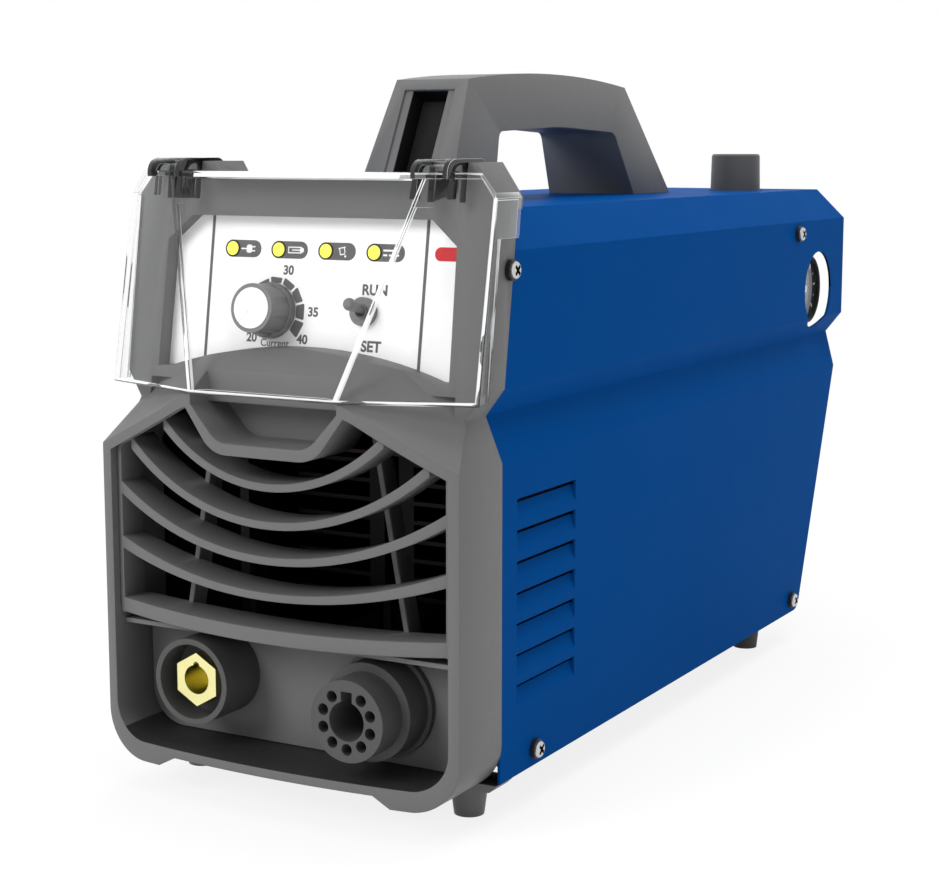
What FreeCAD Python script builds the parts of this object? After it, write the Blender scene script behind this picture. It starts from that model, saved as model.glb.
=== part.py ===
# Air plasma cutting inverter: folded steel cover on a sheet base, a moulded front
# with a louvre grille and two sockets, a hinged clear cover over the control panel,
# a carrying handle, and a filter regulator in an alcove at the rear.
# Millimetres. +Z is up, the control panel faces -Y and +X is its right-hand side.
# The origin is under the middle of the whole object, on the surface it stands on.

import FreeCAD, Part
import math
import os

V = FreeCAD.Vector

# Sheet steel cover
cover_half = 90.0
cover_length = 430.5
sheet_t = 1.2
sheet_bottom = 17.2
wall_top = 155.4
notch_z = 174.8
notch_in = 7.9
upper_bottom = 186.2
chamfer_z = 242.6
chamfer_in = 17.2
cover_top = 259.2
rear_slant = 0.382
rear_corner_r = 9.0

# Front moulding
bezel_proud = 0.8
bezel_wall = 5.0
rim_side_y = 35.8
rim_bow = 8.2
corner_r = 22.0
pad_z = 13.5
mid_bottom_z = 18.4
pad_length = 30.0
pad_in_x = cover_half - pad_length
pad_step = 8.0
arch_z = 181.0
arch_side_z = 150.2
arch_flat = 38.0
ledge_rise = 0.72
upper_lean = math.radians(8.5)
upper_mid_z = 222.8
upper_front_y = -10.8
upper_rear_y = 7.3
upper_low_z = 184.0
bar_top_z = 272.3
ear_top_z = 278.7
ear_top_in = 10.0
ear_width = 28.0
ear_slope = 4.5
ear_top_x = cover_half - ear_top_in
ear_in_x = ear_top_x - ear_width
ear_foot_x = ear_in_x - ear_slope
ear_side_z = 264.5
ear_back = 4.0

# Where things stand along Y: measured from the front edge of the cover
cover_front = (rim_side_y + rim_bow - cover_length) / 2

# Window of the front moulding round the control panel
window_frame = 15.5
window_taper = 1.0
window_corner = 12.4
window_low_x = cover_half - window_frame
window_side_x = window_low_x - window_taper
window_top_x = window_side_x - window_corner
window_top_z = 255.3
window_side_z = 244.8
window_low_z = 189.0
window_arch_z = 200.0

# Finger pocket under the lip of the clear cover
pocket_top_x = 37.0
pocket_low_x = 23.0
pocket_z = 161.4
pocket_deep = 26.0
pocket_r = 12.0
pocket_open = 14.0

# Louvre grille
grille_gap = 0.3
grille_wall = 2.5
grille_back = 18.5
grille_low_z = 76.0
grille_recess = 4.0
louvre_mid_z = (143.6, 127.4, 112.2, 96.6)
louvre_end_in = (34.0, 14.0, 6.0, 6.0)
louvre_end_x = tuple(cover_half - inside for inside in louvre_end_in)
louvre_end_z = (167.0, 156.5, 136.5, 111.5)
louvre_t = 3.4
louvre_end_t = 5.6
bar_t = 6.4
bar_dip = 3.6
rib_top_x = 41.0
rib_low_x = 57.0
rib_t = 2.4
rib_front = 20.0
rib_back = 10.0
rib_top_z = 166.0

# Control panel
panel_mid_z = 223.0
panel_y = -3.0
panel_side = 10.0
panel_half = cover_half - panel_side
panel_top = 36.0
panel_low = 38.0
panel_t = 2.0
panel_gap = 0.3
led_x = -43.8
led_pitch = 24.4
led_z = 18.0
led_r = 3.0
led_proud = 0.4
led_behind = 3.0
dial_x = -20.5
dial_z = -8.6
knob_r = 11.2
knob_tall = 16.0
knob_skirt = 12.2
knob_skirt_tall = 3.0
knob_gap = 0.6
knob_bore = 3.0
knob_cap_r = 8.8
flute_count = 8
flute_r = 3.0
flute_deep = 0.9
shaft_gap = 0.05
pot_r = 9.0
pot_deep = 9.0
switch_x = 26.9
switch_z = -7.2
bush_r = 3.0
nut_r = 6.1
nut_t = 3.0
lever_r = 1.4
lever_tip_r = 2.7
lever_reach = 13.0
lever_root = 1.0
lever_pin_r = 0.8
lever_pin_half = 2.6
lever_tilt = 10.0
switch_w = 8.0
switch_h = 13.0
switch_deep = 10.0
board_t = 1.6
spacer_af = 5.5

# Clear cover
clear_t = 2.4
skirt_t = 1.6
skirt_gap = 0.3
facet_top_in = 25.4
facet_low_in = 53.1
facet_top_x = cover_half - facet_top_in
facet_top_y = -16.5
facet_top_z = 274.6
facet_low_x = cover_half - facet_low_in
facet_low_y = -43.6
facet_low_z = 183.6
facet_side_y = -24.3
facet_side_z = 182.5
clear_low_z = 182.4
clear_seat = 0.4
strip_deep = 7.0
deep_skirt_z = 248.0
arm_side = 14.0
arm_width = 18.0
arm_out_x = cover_half - arm_side
arm_in_x = arm_out_x - arm_width
arm_rib = 2.0
arm_top_z = 280.2
arm_t = 2.6
hinge_y = 12.5
hinge_z = 271.5
knuckle_r = 4.4
pin_r = 1.5
pin_gap = 0.05
slot_gap = 0.4
slot_floor = 262.5
top_gap = 0.3
plate_back = 5.3
ear_recess_deep = 3.0
ear_recess_side = 0.8
ear_recess_low = 266.5
ear_recess_top = 275.0

# Sockets in the recess below the grille
plate_y = -9.0
plate_t = 2.0
work_x = -44.9
work_z = 52.6
work_r = 19.3
work_wall = 2.6
work_front = 36.0
work_cup = 14.0
insert_af = 21.0
insert_back = 4.0
insert_bore_r = 6.5
insert_deep = 30.0
key_r = 1.6
torch_x = 41.4
torch_z = 49.4
torch_front = 44.0
torch_r = 17.7
torch_collar_r = 21.5
torch_collar_y = 28.5
torch_flange_r = 23.5
torch_flange_t = 3.0
torch_bore_r = 8.5
torch_bore_deep = 24.0
torch_key_w = 5.4
torch_key_h = 12.6
pin_circle_r = 12.1
pin_hole_r = 2.5
pin_hole_deep = 18.0
pin_places = 10
socket_tail = 12.0
socket_nut_t = 4.0

# Carrying handle
handle_top_half = 18.8
handle_foot_half = 25.6
handle_front_foot = 69.7
handle_front_top = 98.6
handle_rear_top = 270.0
handle_rear_foot = 318.0
handle_end_z = 316.0
handle_crown_z = 320.6
grip_front_foot = 112.5
grip_front_top = 124.0
grip_rear_top = 252.0
grip_rear_foot = 271.4
grip_end_z = 292.0
grip_mid_z = 294.6
handle_slot_half = 9.5
handle_slot_deep = 12.0
handle_face_half = 13.5
handle_face_deep = 1.2

# Base, rear panel and feet
tray_gap = 0.3
tray_wall = 14.0
tray_rear = 360.0
tray_t = 1.2
rear_y = 340.0
rear_flange = 16.0
foot_top_r = 8.5
foot_low_r = 6.6
foot_side = 18.5
foot_x = cover_half - foot_side
foot_front_y = 6.4
foot_rear_y = 331.0

# Side screws: distance back from the cover's front edge, height
screw_spots = ((5.9, 235.0), (31.3, 24.8), (353.5, 24.8), (351.3, 236.0))
screw_r = 2.0
screw_gap = 0.3
screw_reach = 6.0
head_r = 4.0
head_t = 1.8
bush_t = 2.2
bush_rim_r = 4.4

# Side louvre slots: pressed openings in each wall
slot_first_y = 14.8
slot_len = 55.5
slot_top_z = 137.0
slot_pitch = 13.5
slot_h = 2.2
slot_count = 7
press_in = 2.6
press_drop = 7.0

# Filter regulator in the rear alcove
reg_x = 37.4
reg_y = 387.5
reg_z = 202.5
reg_half = 20.0
reg_top = 228.0
reg_low = 180.0
bonnet_r = 10.5
bonnet_top = 250.0
stem_r = 3.0
stem_top = 262.0
air_knob_r = 14.0
air_knob_foot_r = 14.8
air_knob_top = 280.2
air_knob_low = 246.0
air_knob_hole = 16.2
air_lift = 2.5
bowl_r = 17.0
bowl_low = 118.0
bowl_t = 2.0
gauge_r = 19.4
gauge_in = 5.5
gauge_front = cover_half - gauge_in
gauge_deep = 12.0
gauge_hole_r = 22.0
gauge_lens_t = 1.0
inlet_r = 5.0
inlet_hex = 16.0
inlet_hex_t = 6.0
inlet_barrel = 9.0
inlet_groove_r = 3.8
inlet_groove = 2.0
inlet_tip_r = 4.6
inlet_tip = 4.0
inlet_bore_r = 2.5
inlet_thread_r = 4.4
inlet_thread = 7.0
pipe_r = 4.0
bracket_t = 2.0
bracket_drop = 26.0

# Fan
fan_x = 0.0
fan_z = 88.0
fan_size = 92.0
fan_t = 25.0
fan_rim = 2.5
fan_hole_r = fan_size / 2 - fan_rim
blade_gap = 1.5
blade_r = fan_hole_r - blade_gap
fan_hole_in = 4.75
hub_r = 19.0
blade_count = 7
blade_t = 1.6
blade_pitch = 38.0
fan_pin_r = 1.5
guard_rings = 3
guard_w = 2.0
guard_t = 1.6
eye_half = 4.0

# Power switch and cable gland on the rear panel
rocker_x = -48.0
rocker_z = 212.0
rocker_w = 13.0
rocker_h = 24.0
rocker_tilt = 9.0
rocker_pin_r = 1.2
rocker_pin_out = 1.4
bezel_w = 21.0
bezel_h = 32.0
gland_x = -48.0
gland_z = 164.0
gland_r = 9.0
gland_bore_r = 5.0
gland_hex = 24.0

# Inside
board_z = 150.0
board_side = 18.0
board_half = cover_half - board_side
board_front = 24.0
board_rear = 300.0
post_af = 7.0
sink_w = 60.0
sink_h = 74.0
sink_front = 60.0
sink_rear = 180.0
fin_t = 2.0
fin_count = 9
sink_base = 8.0
cap_r = 15.0
cap_h = 42.0


def yy(back):
    """Y of a place measured back from the cover's front edge."""
    return cover_front + back


def outline(points, make):
    """Closed wire through (a, b[, r]) points, corners rounded by r, mapped by make."""
    count = len(points)
    starts = []
    for i, point in enumerate(points):
        r = point[2] if len(point) > 2 else 0.0
        here = V(point[0], point[1], 0)
        if r <= 0:
            starts.append((here, None, here))
            continue
        before = V(points[i - 1][0], points[i - 1][1], 0) - here
        after = V(points[(i + 1) % count][0], points[(i + 1) % count][1], 0) - here
        before.normalize()
        after.normalize()
        half = before.getAngle(after) / 2
        run = r / math.tan(half)
        bisect = before + after
        bisect.normalize()
        middle = here + bisect * (r / math.sin(half) - r)
        starts.append((here + before * run, middle, here + after * run))
    edges = []
    for i, (first, middle, last) in enumerate(starts):
        if middle is not None:
            edges.append(Part.Arc(make(first), make(middle), make(last)).toShape())
        following = starts[(i + 1) % count][0]
        if (following - last).Length > 1e-6:
            edges.append(Part.LineSegment(make(last), make(following)).toShape())
    return Part.Wire(edges)


def prism_y(points, y0, y1):
    """Prism along Y of an outline in X and Z."""
    wire = outline(points, lambda p: V(p.x, y0, p.y))
    return Part.Face(wire).extrude(V(0, y1 - y0, 0))


def prism_x(points, x0, x1):
    """Prism along X of an outline in Y and Z."""
    wire = outline(points, lambda p: V(x0, p.x, p.y))
    return Part.Face(wire).extrude(V(x1 - x0, 0, 0))


def prism_z(points, z0, z1):
    """Prism along Z of an outline in X and Y."""
    wire = outline(points, lambda p: V(p.x, p.y, z0))
    return Part.Face(wire).extrude(V(0, 0, z1 - z0))


def box(x0, x1, y0, y1, z0, z1):
    """Box between two corners."""
    return Part.makeBox(x1 - x0, y1 - y0, z1 - z0, V(x0, y0, z0))


def rod(r, start, end):
    """Cylinder from one point to another."""
    way = end - start
    return Part.makeCylinder(r, way.Length, start, way)


def cone(r0, r1, start, end):
    """Truncated cone from one point to another."""
    way = end - start
    return Part.makeCone(r0, r1, way.Length, start, way)


def mirrored(shape):
    """The same shape on the other side of the middle plane."""
    return shape.mirror(V(0, 0, 0), V(1, 0, 0))


def both(points):
    """Closed outline from its right half, listed from bottom to top."""
    left = [(-p[0],) + tuple(p[1:]) for p in reversed(points)]
    return list(points) + left


def hexagon(af, x, z, turn=30.0):
    """Hexagon across flats af about x, z."""
    r = af / math.sqrt(3)
    steps = [math.radians(turn + 60 * i) for i in range(6)]
    return [(x + r * math.cos(a), z + r * math.sin(a)) for a in steps]


def on_panel(shape):
    """Takes a shape drawn on an upright panel face at y 0 to the leaning panel."""
    placed = shape.copy()
    placed.rotate(V(0, 0, 0), V(1, 0, 0), -math.degrees(upper_lean))
    placed.translate(V(0, yy(panel_y), panel_mid_z))
    return placed


def lean_y(mid_y, z):
    """Y at height z of a plane parallel to the leaning upper front."""
    return yy(mid_y + math.tan(upper_lean) * (z - upper_mid_z))


def behind_lean(mid_y, y_far, z0, z1):
    """Everything between a leaning plane and y_far."""
    points = [(lean_y(mid_y, z0), z0), (y_far, z0), (y_far, z1), (lean_y(mid_y, z1), z1)]
    return prism_x(points, -200, 200)


def cover_profile(inset):
    """Half outline of the cover, moved in square to each wall by inset."""
    lean_low = math.atan2(notch_in, notch_z - wall_top)
    lean_high = math.atan2(notch_in, upper_bottom - notch_z)
    lean_roof = math.atan2(cover_top - chamfer_z, chamfer_in)
    side = cover_half - inset
    low_shift = inset * math.tan(lean_low / 2)
    high_shift = inset * math.tan(lean_high / 2)
    mid_turn = (lean_low + lean_high) / 2
    notch_x = cover_half - notch_in - inset / math.cos(mid_turn) * math.cos((lean_high - lean_low) / 2)
    roof_side = inset * math.tan((math.pi / 2 - lean_roof) / 2)
    roof_top = inset * math.tan(lean_roof / 2)
    return [
        (side, sheet_bottom),
        (side, wall_top - low_shift),
        (notch_x, notch_z - inset / math.cos(mid_turn) * math.sin((lean_high - lean_low) / 2)),
        (side, upper_bottom + high_shift),
        (side, chamfer_z - roof_side),
        (cover_half - chamfer_in - roof_top, cover_top - inset),
    ]


def screw_cuts(gap):
    """Shank-sized rods at every side screw, grown by gap."""
    cuts = []
    for back, z in screw_spots:
        for side in (-1, 1):
            start = V(side * (cover_half + bezel_proud + 2), yy(back), z)
            end = V(side * (cover_half - screw_reach - 1), yy(back), z)
            cuts.append(rod(screw_r + gap, start, end))
    return cuts


def slant_keep():
    """Room ahead of the rear edge, which slants forward below the upper wall."""
    rear = yy(cover_length)
    low_y = rear - rear_slant * (upper_bottom - sheet_bottom)
    meet_z = upper_mid_z - upper_rear_y / math.tan(upper_lean)
    points = [
        (yy(0), sheet_bottom - 0.01),
        (low_y, sheet_bottom - 0.01, rear_corner_r),
        (rear, upper_bottom),
        (rear, cover_top + 1),
        (lean_y(upper_rear_y, cover_top + 1), cover_top + 1),
        (yy(0), meet_z),
    ]
    return prism_x(points, -200, 200)


def make_sheet_cover():
    """Inverted U of folded sheet with its louvres and holes."""
    inner = cover_profile(sheet_t)
    inner[0] = (inner[0][0], sheet_bottom - 1)
    solid = prism_y(both(cover_profile(0)), yy(-5), yy(cover_length))
    inside = prism_y(both(inner), yy(-6), yy(cover_length) + 1)
    shell = solid.cut(inside).common(slant_keep())
    flaps = []
    cuts = screw_cuts(screw_gap)
    for i in range(slot_count):
        for flap, opening in louvre_press(slot_top_z - slot_pitch * i - slot_h / 2):
            flaps.append(flap)
            cuts.append(opening)
    gauge_seat = V(gauge_front - gauge_deep, yy(reg_y), reg_z)
    cuts.append(rod(gauge_hole_r, gauge_seat, gauge_seat + V(gauge_deep + 10, 0, 0)))
    cuts.append(rod(air_knob_hole, V(reg_x, yy(reg_y), cover_top - 5), V(reg_x, yy(reg_y), cover_top + 5)))
    for x, y in handle_spots():
        cuts.append(rod(screw_r + screw_gap, V(x, y, cover_top - 5), V(x, y, cover_top + 5)))
    return shell.fuse(flaps).cut(cuts)


def louvre_press(top):
    """Flap of one louvre on each side and the room to cut: the sheet is slit along the
    top and pressed in below the slit."""
    low = top - press_drop
    wall = cover_half - sheet_t
    first = yy(slot_first_y)
    last = yy(slot_first_y + slot_len)
    core = wall + sheet_t / 2
    back = [(core, low - sheet_t), (core, top), (wall - press_in, top), (wall, low - sheet_t)]
    flap = prism_y(back, first - sheet_t, last + sheet_t)
    front = [(cover_half, low), (cover_half + 1, low), (cover_half + 1, top), (cover_half - press_in, top)]
    press = prism_y(front, first, last)
    slit = box(wall - press_in - 1, cover_half + 1, first, last, top, top + slot_h)
    opening = press.fuse(slit)
    return [(flap, opening), (mirrored(flap), mirrored(opening))]


def front_plan(recess):
    """Everything behind the bowed front, moved back by recess."""
    side = cover_half + bezel_proud
    far = side + 20
    r = (side ** 2 + rim_bow ** 2) / (2 * rim_bow)
    crown = yy(-rim_side_y - rim_bow + recess)
    far_y = crown + r - math.sqrt(r ** 2 - far ** 2)
    bow = Part.Arc(V(-far, far_y, 0), V(0, crown, 0), V(far, far_y, 0)).toShape()
    corners = [V(far, far_y, 0), V(far, yy(60), 0), V(-far, yy(60), 0), V(-far, far_y, 0)]
    lines = [Part.LineSegment(a, b).toShape() for a, b in zip(corners, corners[1:])]
    return Part.Face(Part.Wire([bow] + lines)).extrude(V(0, 0, 400))


def arch_half(drop):
    """Right half of the arched top of the lower front, drop below its face."""
    return [(cover_half + 30, arch_side_z - drop - 30 * (arch_z - arch_side_z) / (cover_half - arch_flat)),
            (arch_flat, arch_z - drop, 30.0)]


def under_ledge(drop):
    """Everything below the ledge, which rises to the rear from the front arch."""
    ahead = 3.0
    start = yy(-rim_side_y - rim_bow - ahead)
    points = both([(cover_half + 30, -200)] + arch_half(drop + ahead * ledge_rise))
    wire = outline(points, lambda p: V(p.x, start, p.y))
    reach = 60.0
    return Part.Face(wire).extrude(V(0, reach, reach * ledge_rise))


def bezel_profile():
    """Outline of the front moulding from the front, right half from the bottom."""
    side = cover_half + bezel_proud
    return both([
        (pad_in_x - pad_step, mid_bottom_z),
        (pad_in_x, pad_z),
        (side, pad_z, corner_r),
        (side, wall_top),
        (side - notch_in, notch_z),
        (side, upper_bottom),
        (side, ear_side_z),
        (ear_top_x, ear_top_z),
        (ear_in_x, ear_top_z),
        (ear_foot_x, bar_top_z),
    ])


def pocket_outline(wall, top):
    """U of the finger pocket, grown by wall."""
    return both([
        (pocket_low_x + wall * 0.6, pocket_z - wall, pocket_r + wall * 0.6),
        (pocket_top_x + wall * 0.8, arch_z - 4),
        (pocket_top_x + wall * 0.8, top),
    ])


def window_outline(grow):
    """Opening of the upper front round the control panel."""
    return both([
        (window_low_x + grow, window_low_z - grow),
        (window_side_x + grow, window_side_z + grow * 0.4),
        (window_top_x + grow * 0.4, window_top_z + grow),
    ])


def make_front_bezel():
    """The moulded front: lower rim and ledge, finger pocket, and upper frame with ears."""
    side = cover_half + bezel_proud
    outer = prism_y(bezel_profile(), yy(-rim_side_y - rim_bow - 1), yy(40))
    front = yy(-rim_side_y - rim_bow - 5)

    lower_box = box(-200, 200, front, yy(0), 0, arch_z + 30)
    lower = outer.common(lower_box).common(front_plan(0)).common(under_ledge(0))
    hollow_half = side - bezel_wall
    hollow = both([
        (hollow_half, mid_bottom_z + bezel_wall - 1, corner_r - bezel_wall),
        (hollow_half, wall_top - 2),
        (hollow_half - notch_in, notch_z),
        (hollow_half - notch_in, arch_z + 20),
    ])
    inside = prism_y(hollow, front, yy(60))
    cavity = inside.common(under_ledge(bezel_wall)).cut(box(-200, 200, yy(0), yy(60), 0, 400))
    lower = lower.cut(cavity)

    pocket_back = yy(-rim_side_y - rim_bow + pocket_deep)
    cup = prism_y(pocket_outline(bezel_wall, arch_z + 30), front, pocket_back + 2.0)
    cup = cup.common(front_plan(0)).common(under_ledge(0.5))
    pocket_room = prism_y(pocket_outline(0, arch_z - 4), front, pocket_back)
    pocket_mouth = prism_y(pocket_outline(0, arch_z + 40), front, yy(-rim_side_y - rim_bow + pocket_open))
    lower = lower.fuse(cup).cut([pocket_room, pocket_mouth])

    upper = outer.common(behind_lean(upper_front_y, yy(40), notch_z - 6, ear_top_z + 1))
    upper = upper.cut(inside.common(box(-200, 200, yy(-60), yy(60), 0, upper_low_z)))
    keep = behind_lean(upper_rear_y, yy(60), 0, 400)
    ears_keep = behind_lean(upper_rear_y + ear_back, yy(60), 0, 400)
    ear_zone = box(-200, 200, yy(-60), yy(60), cover_top + 0.6, 400)
    upper = upper.cut(keep).fuse(upper.common(ear_zone).cut(ears_keep))
    window = prism_y(window_outline(0), yy(-60), yy(60))
    low_cut = Part.Arc(V(-window_low_x - 10, yy(-60), window_low_z - 6), V(0, yy(-60), window_arch_z),
                       V(window_low_x + 10, yy(-60), window_low_z - 6)).toShape()
    closing = [V(window_low_x + 10, yy(-60), window_low_z - 6), V(window_low_x + 10, yy(-60), 300),
               V(-window_low_x - 10, yy(-60), 300), V(-window_low_x - 10, yy(-60), window_low_z - 6)]
    lines = [Part.LineSegment(a, b).toShape() for a, b in zip(closing, closing[1:])]
    above_arch = Part.Face(Part.Wire([low_cut] + lines)).extrude(V(0, 120, 0))
    window = window.common(above_arch)
    seat = on_panel(box(-panel_half - panel_gap, panel_half + panel_gap, 0, 60,
                        -panel_low - panel_gap, panel_top + panel_gap))
    body = lower.fuse(upper).cut([window, seat])

    slot_w = arm_rib + 2 * slot_gap
    proud_of_recess = behind_lean(upper_front_y + ear_recess_deep, yy(80), 0, 400)
    slots = []
    for x0 in (arm_in_x, arm_out_x - slot_w):
        slots.append(box(x0, x0 + slot_w, yy(-60), yy(60), slot_floor, ear_top_z + 5))
    slots.append(box(arm_in_x + slot_w + ear_recess_side, arm_out_x - slot_w - ear_recess_side, yy(-60), yy(60),
                     ear_recess_low, ear_recess_top).cut(proud_of_recess))
    slots += [mirrored(slot) for slot in slots]
    pin_end = ear_top_x - 1
    pins = rod(pin_r + pin_gap, V(-pin_end, yy(hinge_y), hinge_z), V(pin_end, yy(hinge_y), hinge_z))
    body = body.cut(slots + [pins])

    skirt_top = sheet_bottom - 0.2
    skirts = []
    for turn in (1, -1):
        shape = [(side - 26, pad_z), (side - 5, pad_z), (side - 1.5, skirt_top), (side - 26, skirt_top)]
        skirt = prism_y(shape, yy(-2), yy(foot_front_y + foot_top_r))
        skirts.append(skirt if turn > 0 else mirrored(skirt))
    feet = []
    for x in (-foot_x, foot_x):
        feet.append(cone(foot_low_r, foot_top_r, V(x, yy(foot_front_y), 0), V(x, yy(foot_front_y), pad_z + 1)))
    body = body.fuse(skirts + feet)
    return body.cut(screw_cuts(screw_gap)).removeSplitter()


def make_louvre_grille():
    """Curved louvres, two upright ribs and the lower bar in one frame."""
    side = cover_half + bezel_proud - bezel_wall - grille_gap
    y0 = yy(-rim_side_y - 1)
    y1 = yy(-grille_back)
    full = both([(side, grille_low_z - 2), (side, wall_top - 2),
                 (side - notch_in, notch_z), (side - notch_in, arch_z + 20)])
    inner_side = side - grille_wall
    inner = both([(inner_side, grille_low_z - 3), (inner_side, wall_top - 2),
                  (inner_side - notch_in, notch_z), (inner_side - notch_in, arch_z + 20)])
    ceiling = under_ledge(bezel_wall + grille_gap)
    ceiling_in = under_ledge(bezel_wall + grille_gap + grille_wall)
    room = prism_y(full, y0 - 20, y1).common(ceiling)
    hole = prism_y(inner, y0 - 20, y1 + 1).common(ceiling_in)
    frame = room.cut(hole)
    blades = []
    for mid_z, end_x, end_z in zip(louvre_mid_z, louvre_end_x, louvre_end_z):
        blades.append(louvre(mid_z, end_x, end_z, louvre_t, louvre_end_t, y1))
    blades.append(louvre(grille_low_z + bar_t / 2, side, grille_low_z + bar_t / 2 + bar_dip, bar_t, bar_t, y1))
    ribs = []
    for turn in (-1, 1):
        low_x = turn * rib_low_x
        high_x = turn * rib_top_x
        bar_z = grille_low_z + bar_t / 2
        shape = [(low_x - rib_t / 2, bar_z), (low_x + rib_t / 2, bar_z),
                 (high_x + rib_t / 2, rib_top_z), (high_x - rib_t / 2, rib_top_z)]
        ribs.append(prism_y(shape, yy(-rib_front), yy(-rib_back)))
    body = frame.fuse([blade.common(room) for blade in blades] + ribs)
    body = body.common(front_plan(grille_recess))
    low_gap = louvre_floor(side)
    pocket = prism_y(pocket_outline(bezel_wall + grille_gap, arch_z + 40), y0 - 30, y1 + 1)
    return body.cut([pocket, low_gap]).removeSplitter()


def louvre_floor(side):
    """Room below the lower bar, which dips in the middle."""
    y0 = yy(-rim_side_y - 30)
    bow = Part.Arc(V(-side - 5, y0, grille_low_z + bar_dip), V(0, y0, grille_low_z),
                   V(side + 5, y0, grille_low_z + bar_dip)).toShape()
    corners = [V(side + 5, y0, grille_low_z + bar_dip), V(side + 5, y0, 0), V(-side - 5, y0, 0),
               V(-side - 5, y0, grille_low_z + bar_dip)]
    lines = [Part.LineSegment(a, b).toShape() for a, b in zip(corners, corners[1:])]
    return Part.Face(Part.Wire([bow] + lines)).extrude(V(0, 60, 0))


def louvre(mid_z, end_x, end_z, mid_t, end_t, y_back):
    """One blade: a band between two arcs, thicker at its ends."""
    y0 = yy(-rim_side_y - 20)
    top = Part.Arc(V(-end_x, y0, end_z + end_t / 2), V(0, y0, mid_z + mid_t / 2),
                   V(end_x, y0, end_z + end_t / 2)).toShape()
    low = Part.Arc(V(-end_x, y0, end_z - end_t / 2), V(0, y0, mid_z - mid_t / 2),
                   V(end_x, y0, end_z - end_t / 2)).toShape()
    left = Part.LineSegment(V(-end_x, y0, end_z + end_t / 2), V(-end_x, y0, end_z - end_t / 2)).toShape()
    right = Part.LineSegment(V(end_x, y0, end_z + end_t / 2), V(end_x, y0, end_z - end_t / 2)).toShape()
    return Part.Face(Part.Wire([top, right, low, left])).extrude(V(0, y_back - y0, 0))


def plane_cut(shape, origin, normal):
    """Removes what lies beyond a plane, on the side its normal points to."""
    way = V(normal)
    way.normalize()
    block = Part.makeBox(800, 800, 800, V(-400, -400, 0))
    block.Placement = FreeCAD.Placement(origin, FreeCAD.Rotation(V(0, 0, 1), way))
    return shape.cut(block)


def clear_body(inset, side_inset):
    """Solid under the clear cover's facets, moved in by inset and side_inset."""
    side = cover_half + bezel_proud + skirt_gap + skirt_t - side_inset
    top = facet_top_z - inset
    profile = both([(side, clear_low_z - inset * 4), (side, ear_side_z - inset * 0.4),
                    (side - (top - ear_side_z) * 0.78, top)])
    body = prism_y(profile, yy(-60), yy(40))
    a = V(facet_top_x, yy(facet_top_y), facet_top_z)
    b = V(facet_low_x, yy(facet_low_y), facet_low_z)
    d = V(cover_half + bezel_proud + skirt_gap + skirt_t, yy(facet_side_y), facet_side_z)
    front = V(0, -(a.z - b.z), a.y - b.y)
    front.normalize()
    body = plane_cut(body, b - front * inset, front)
    flank = (b - a).cross(d - a)
    flank.normalize()
    if flank.y > 0:
        flank = flank * -1
    body = plane_cut(body, a - flank * inset, flank)
    other = V(-flank.x, flank.y, flank.z)
    return plane_cut(body, V(-a.x, a.y, a.z) - other * inset, other)


def make_clear_cover():
    """Faceted clear cover with side skirts and two arms that reach back to the hinge pins."""
    outer = clear_body(0, 0)
    shell = outer.cut(clear_body(clear_t, skirt_t))
    inner_side = cover_half + bezel_proud + skirt_gap
    behind = behind_lean(upper_front_y - 1.2, yy(60), 0, 400)
    middle = box(-inner_side + 0.1, inner_side - 0.1, yy(-80), yy(80), 0, 400)
    shell = shell.cut(behind.common(middle))
    top_back = box(-inner_side + 0.1, inner_side - 0.1, yy(-6.5), yy(80), ear_side_z - 4, 400)
    shell = shell.cut(top_back)
    strip_back = behind_lean(upper_front_y + strip_deep - 5, yy(80), 0, deep_skirt_z)
    shell = shell.cut([strip_back, behind_lean(upper_rear_y - 0.6, yy(80), 0, 400)])
    shell = shell.cut(under_ledge(-clear_seat))
    arms = []
    for turn in (1, -1):
        arm = prism_x([
            (yy(-19.0), facet_top_z - 14),
            (yy(-19.0), arm_top_z - 2, 6.0),
            (yy(-12.5), arm_top_z, 8.0),
            (yy(hinge_y), arm_top_z, 6.0),
            (yy(hinge_y + knuckle_r), hinge_z + 2, 2.0),
            (yy(hinge_y + knuckle_r), hinge_z),
            (yy(hinge_y - knuckle_r), hinge_z),
            (yy(hinge_y - knuckle_r), arm_top_z - arm_t, 3.0),
            (yy(-12.5), arm_top_z - arm_t, 5.0),
            (yy(-15.5), facet_top_z - 14),
        ], arm_in_x + slot_gap, arm_out_x - slot_gap)
        knuckle = rod(knuckle_r, V(arm_in_x + slot_gap, yy(hinge_y), hinge_z),
                      V(arm_out_x - slot_gap, yy(hinge_y), hinge_z))
        arm = arm.fuse(knuckle)
        inner_x = arm_in_x + slot_gap + arm_rib
        outer_x = arm_out_x - slot_gap - arm_rib
        ear_room = behind_lean(upper_front_y - skirt_gap * 3, yy(80), 0, ear_top_z + top_gap)
        rear_room = box(inner_x, outer_x, yy(plate_back), yy(80), 0, 400)
        between_ribs = box(inner_x, outer_x, yy(-80), yy(80), 0, 400)
        arm = arm.cut([ear_room.common(between_ribs), rear_room])
        inside_front = clear_body(0, 0).fuse(box(0, 200, yy(-60), yy(60), facet_top_z - clear_t, 400))
        arm = arm.common(inside_front)
        arms.append(arm if turn > 0 else mirrored(arm))
    body = shell.fuse(arms)
    bores = rod(pin_r + pin_gap, V(-100, yy(hinge_y), hinge_z), V(100, yy(hinge_y), hinge_z))
    return body.cut(bores).removeSplitter()


def make_hinge_pins():
    """One pin across each ear."""
    pins = []
    for turn in (1, -1):
        pin = rod(pin_r, V(ear_foot_x + 3.5, yy(hinge_y), hinge_z), V(ear_top_x - 1.2, yy(hinge_y), hinge_z))
        pins.append(pin if turn > 0 else mirrored(pin))
    return pins


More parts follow.
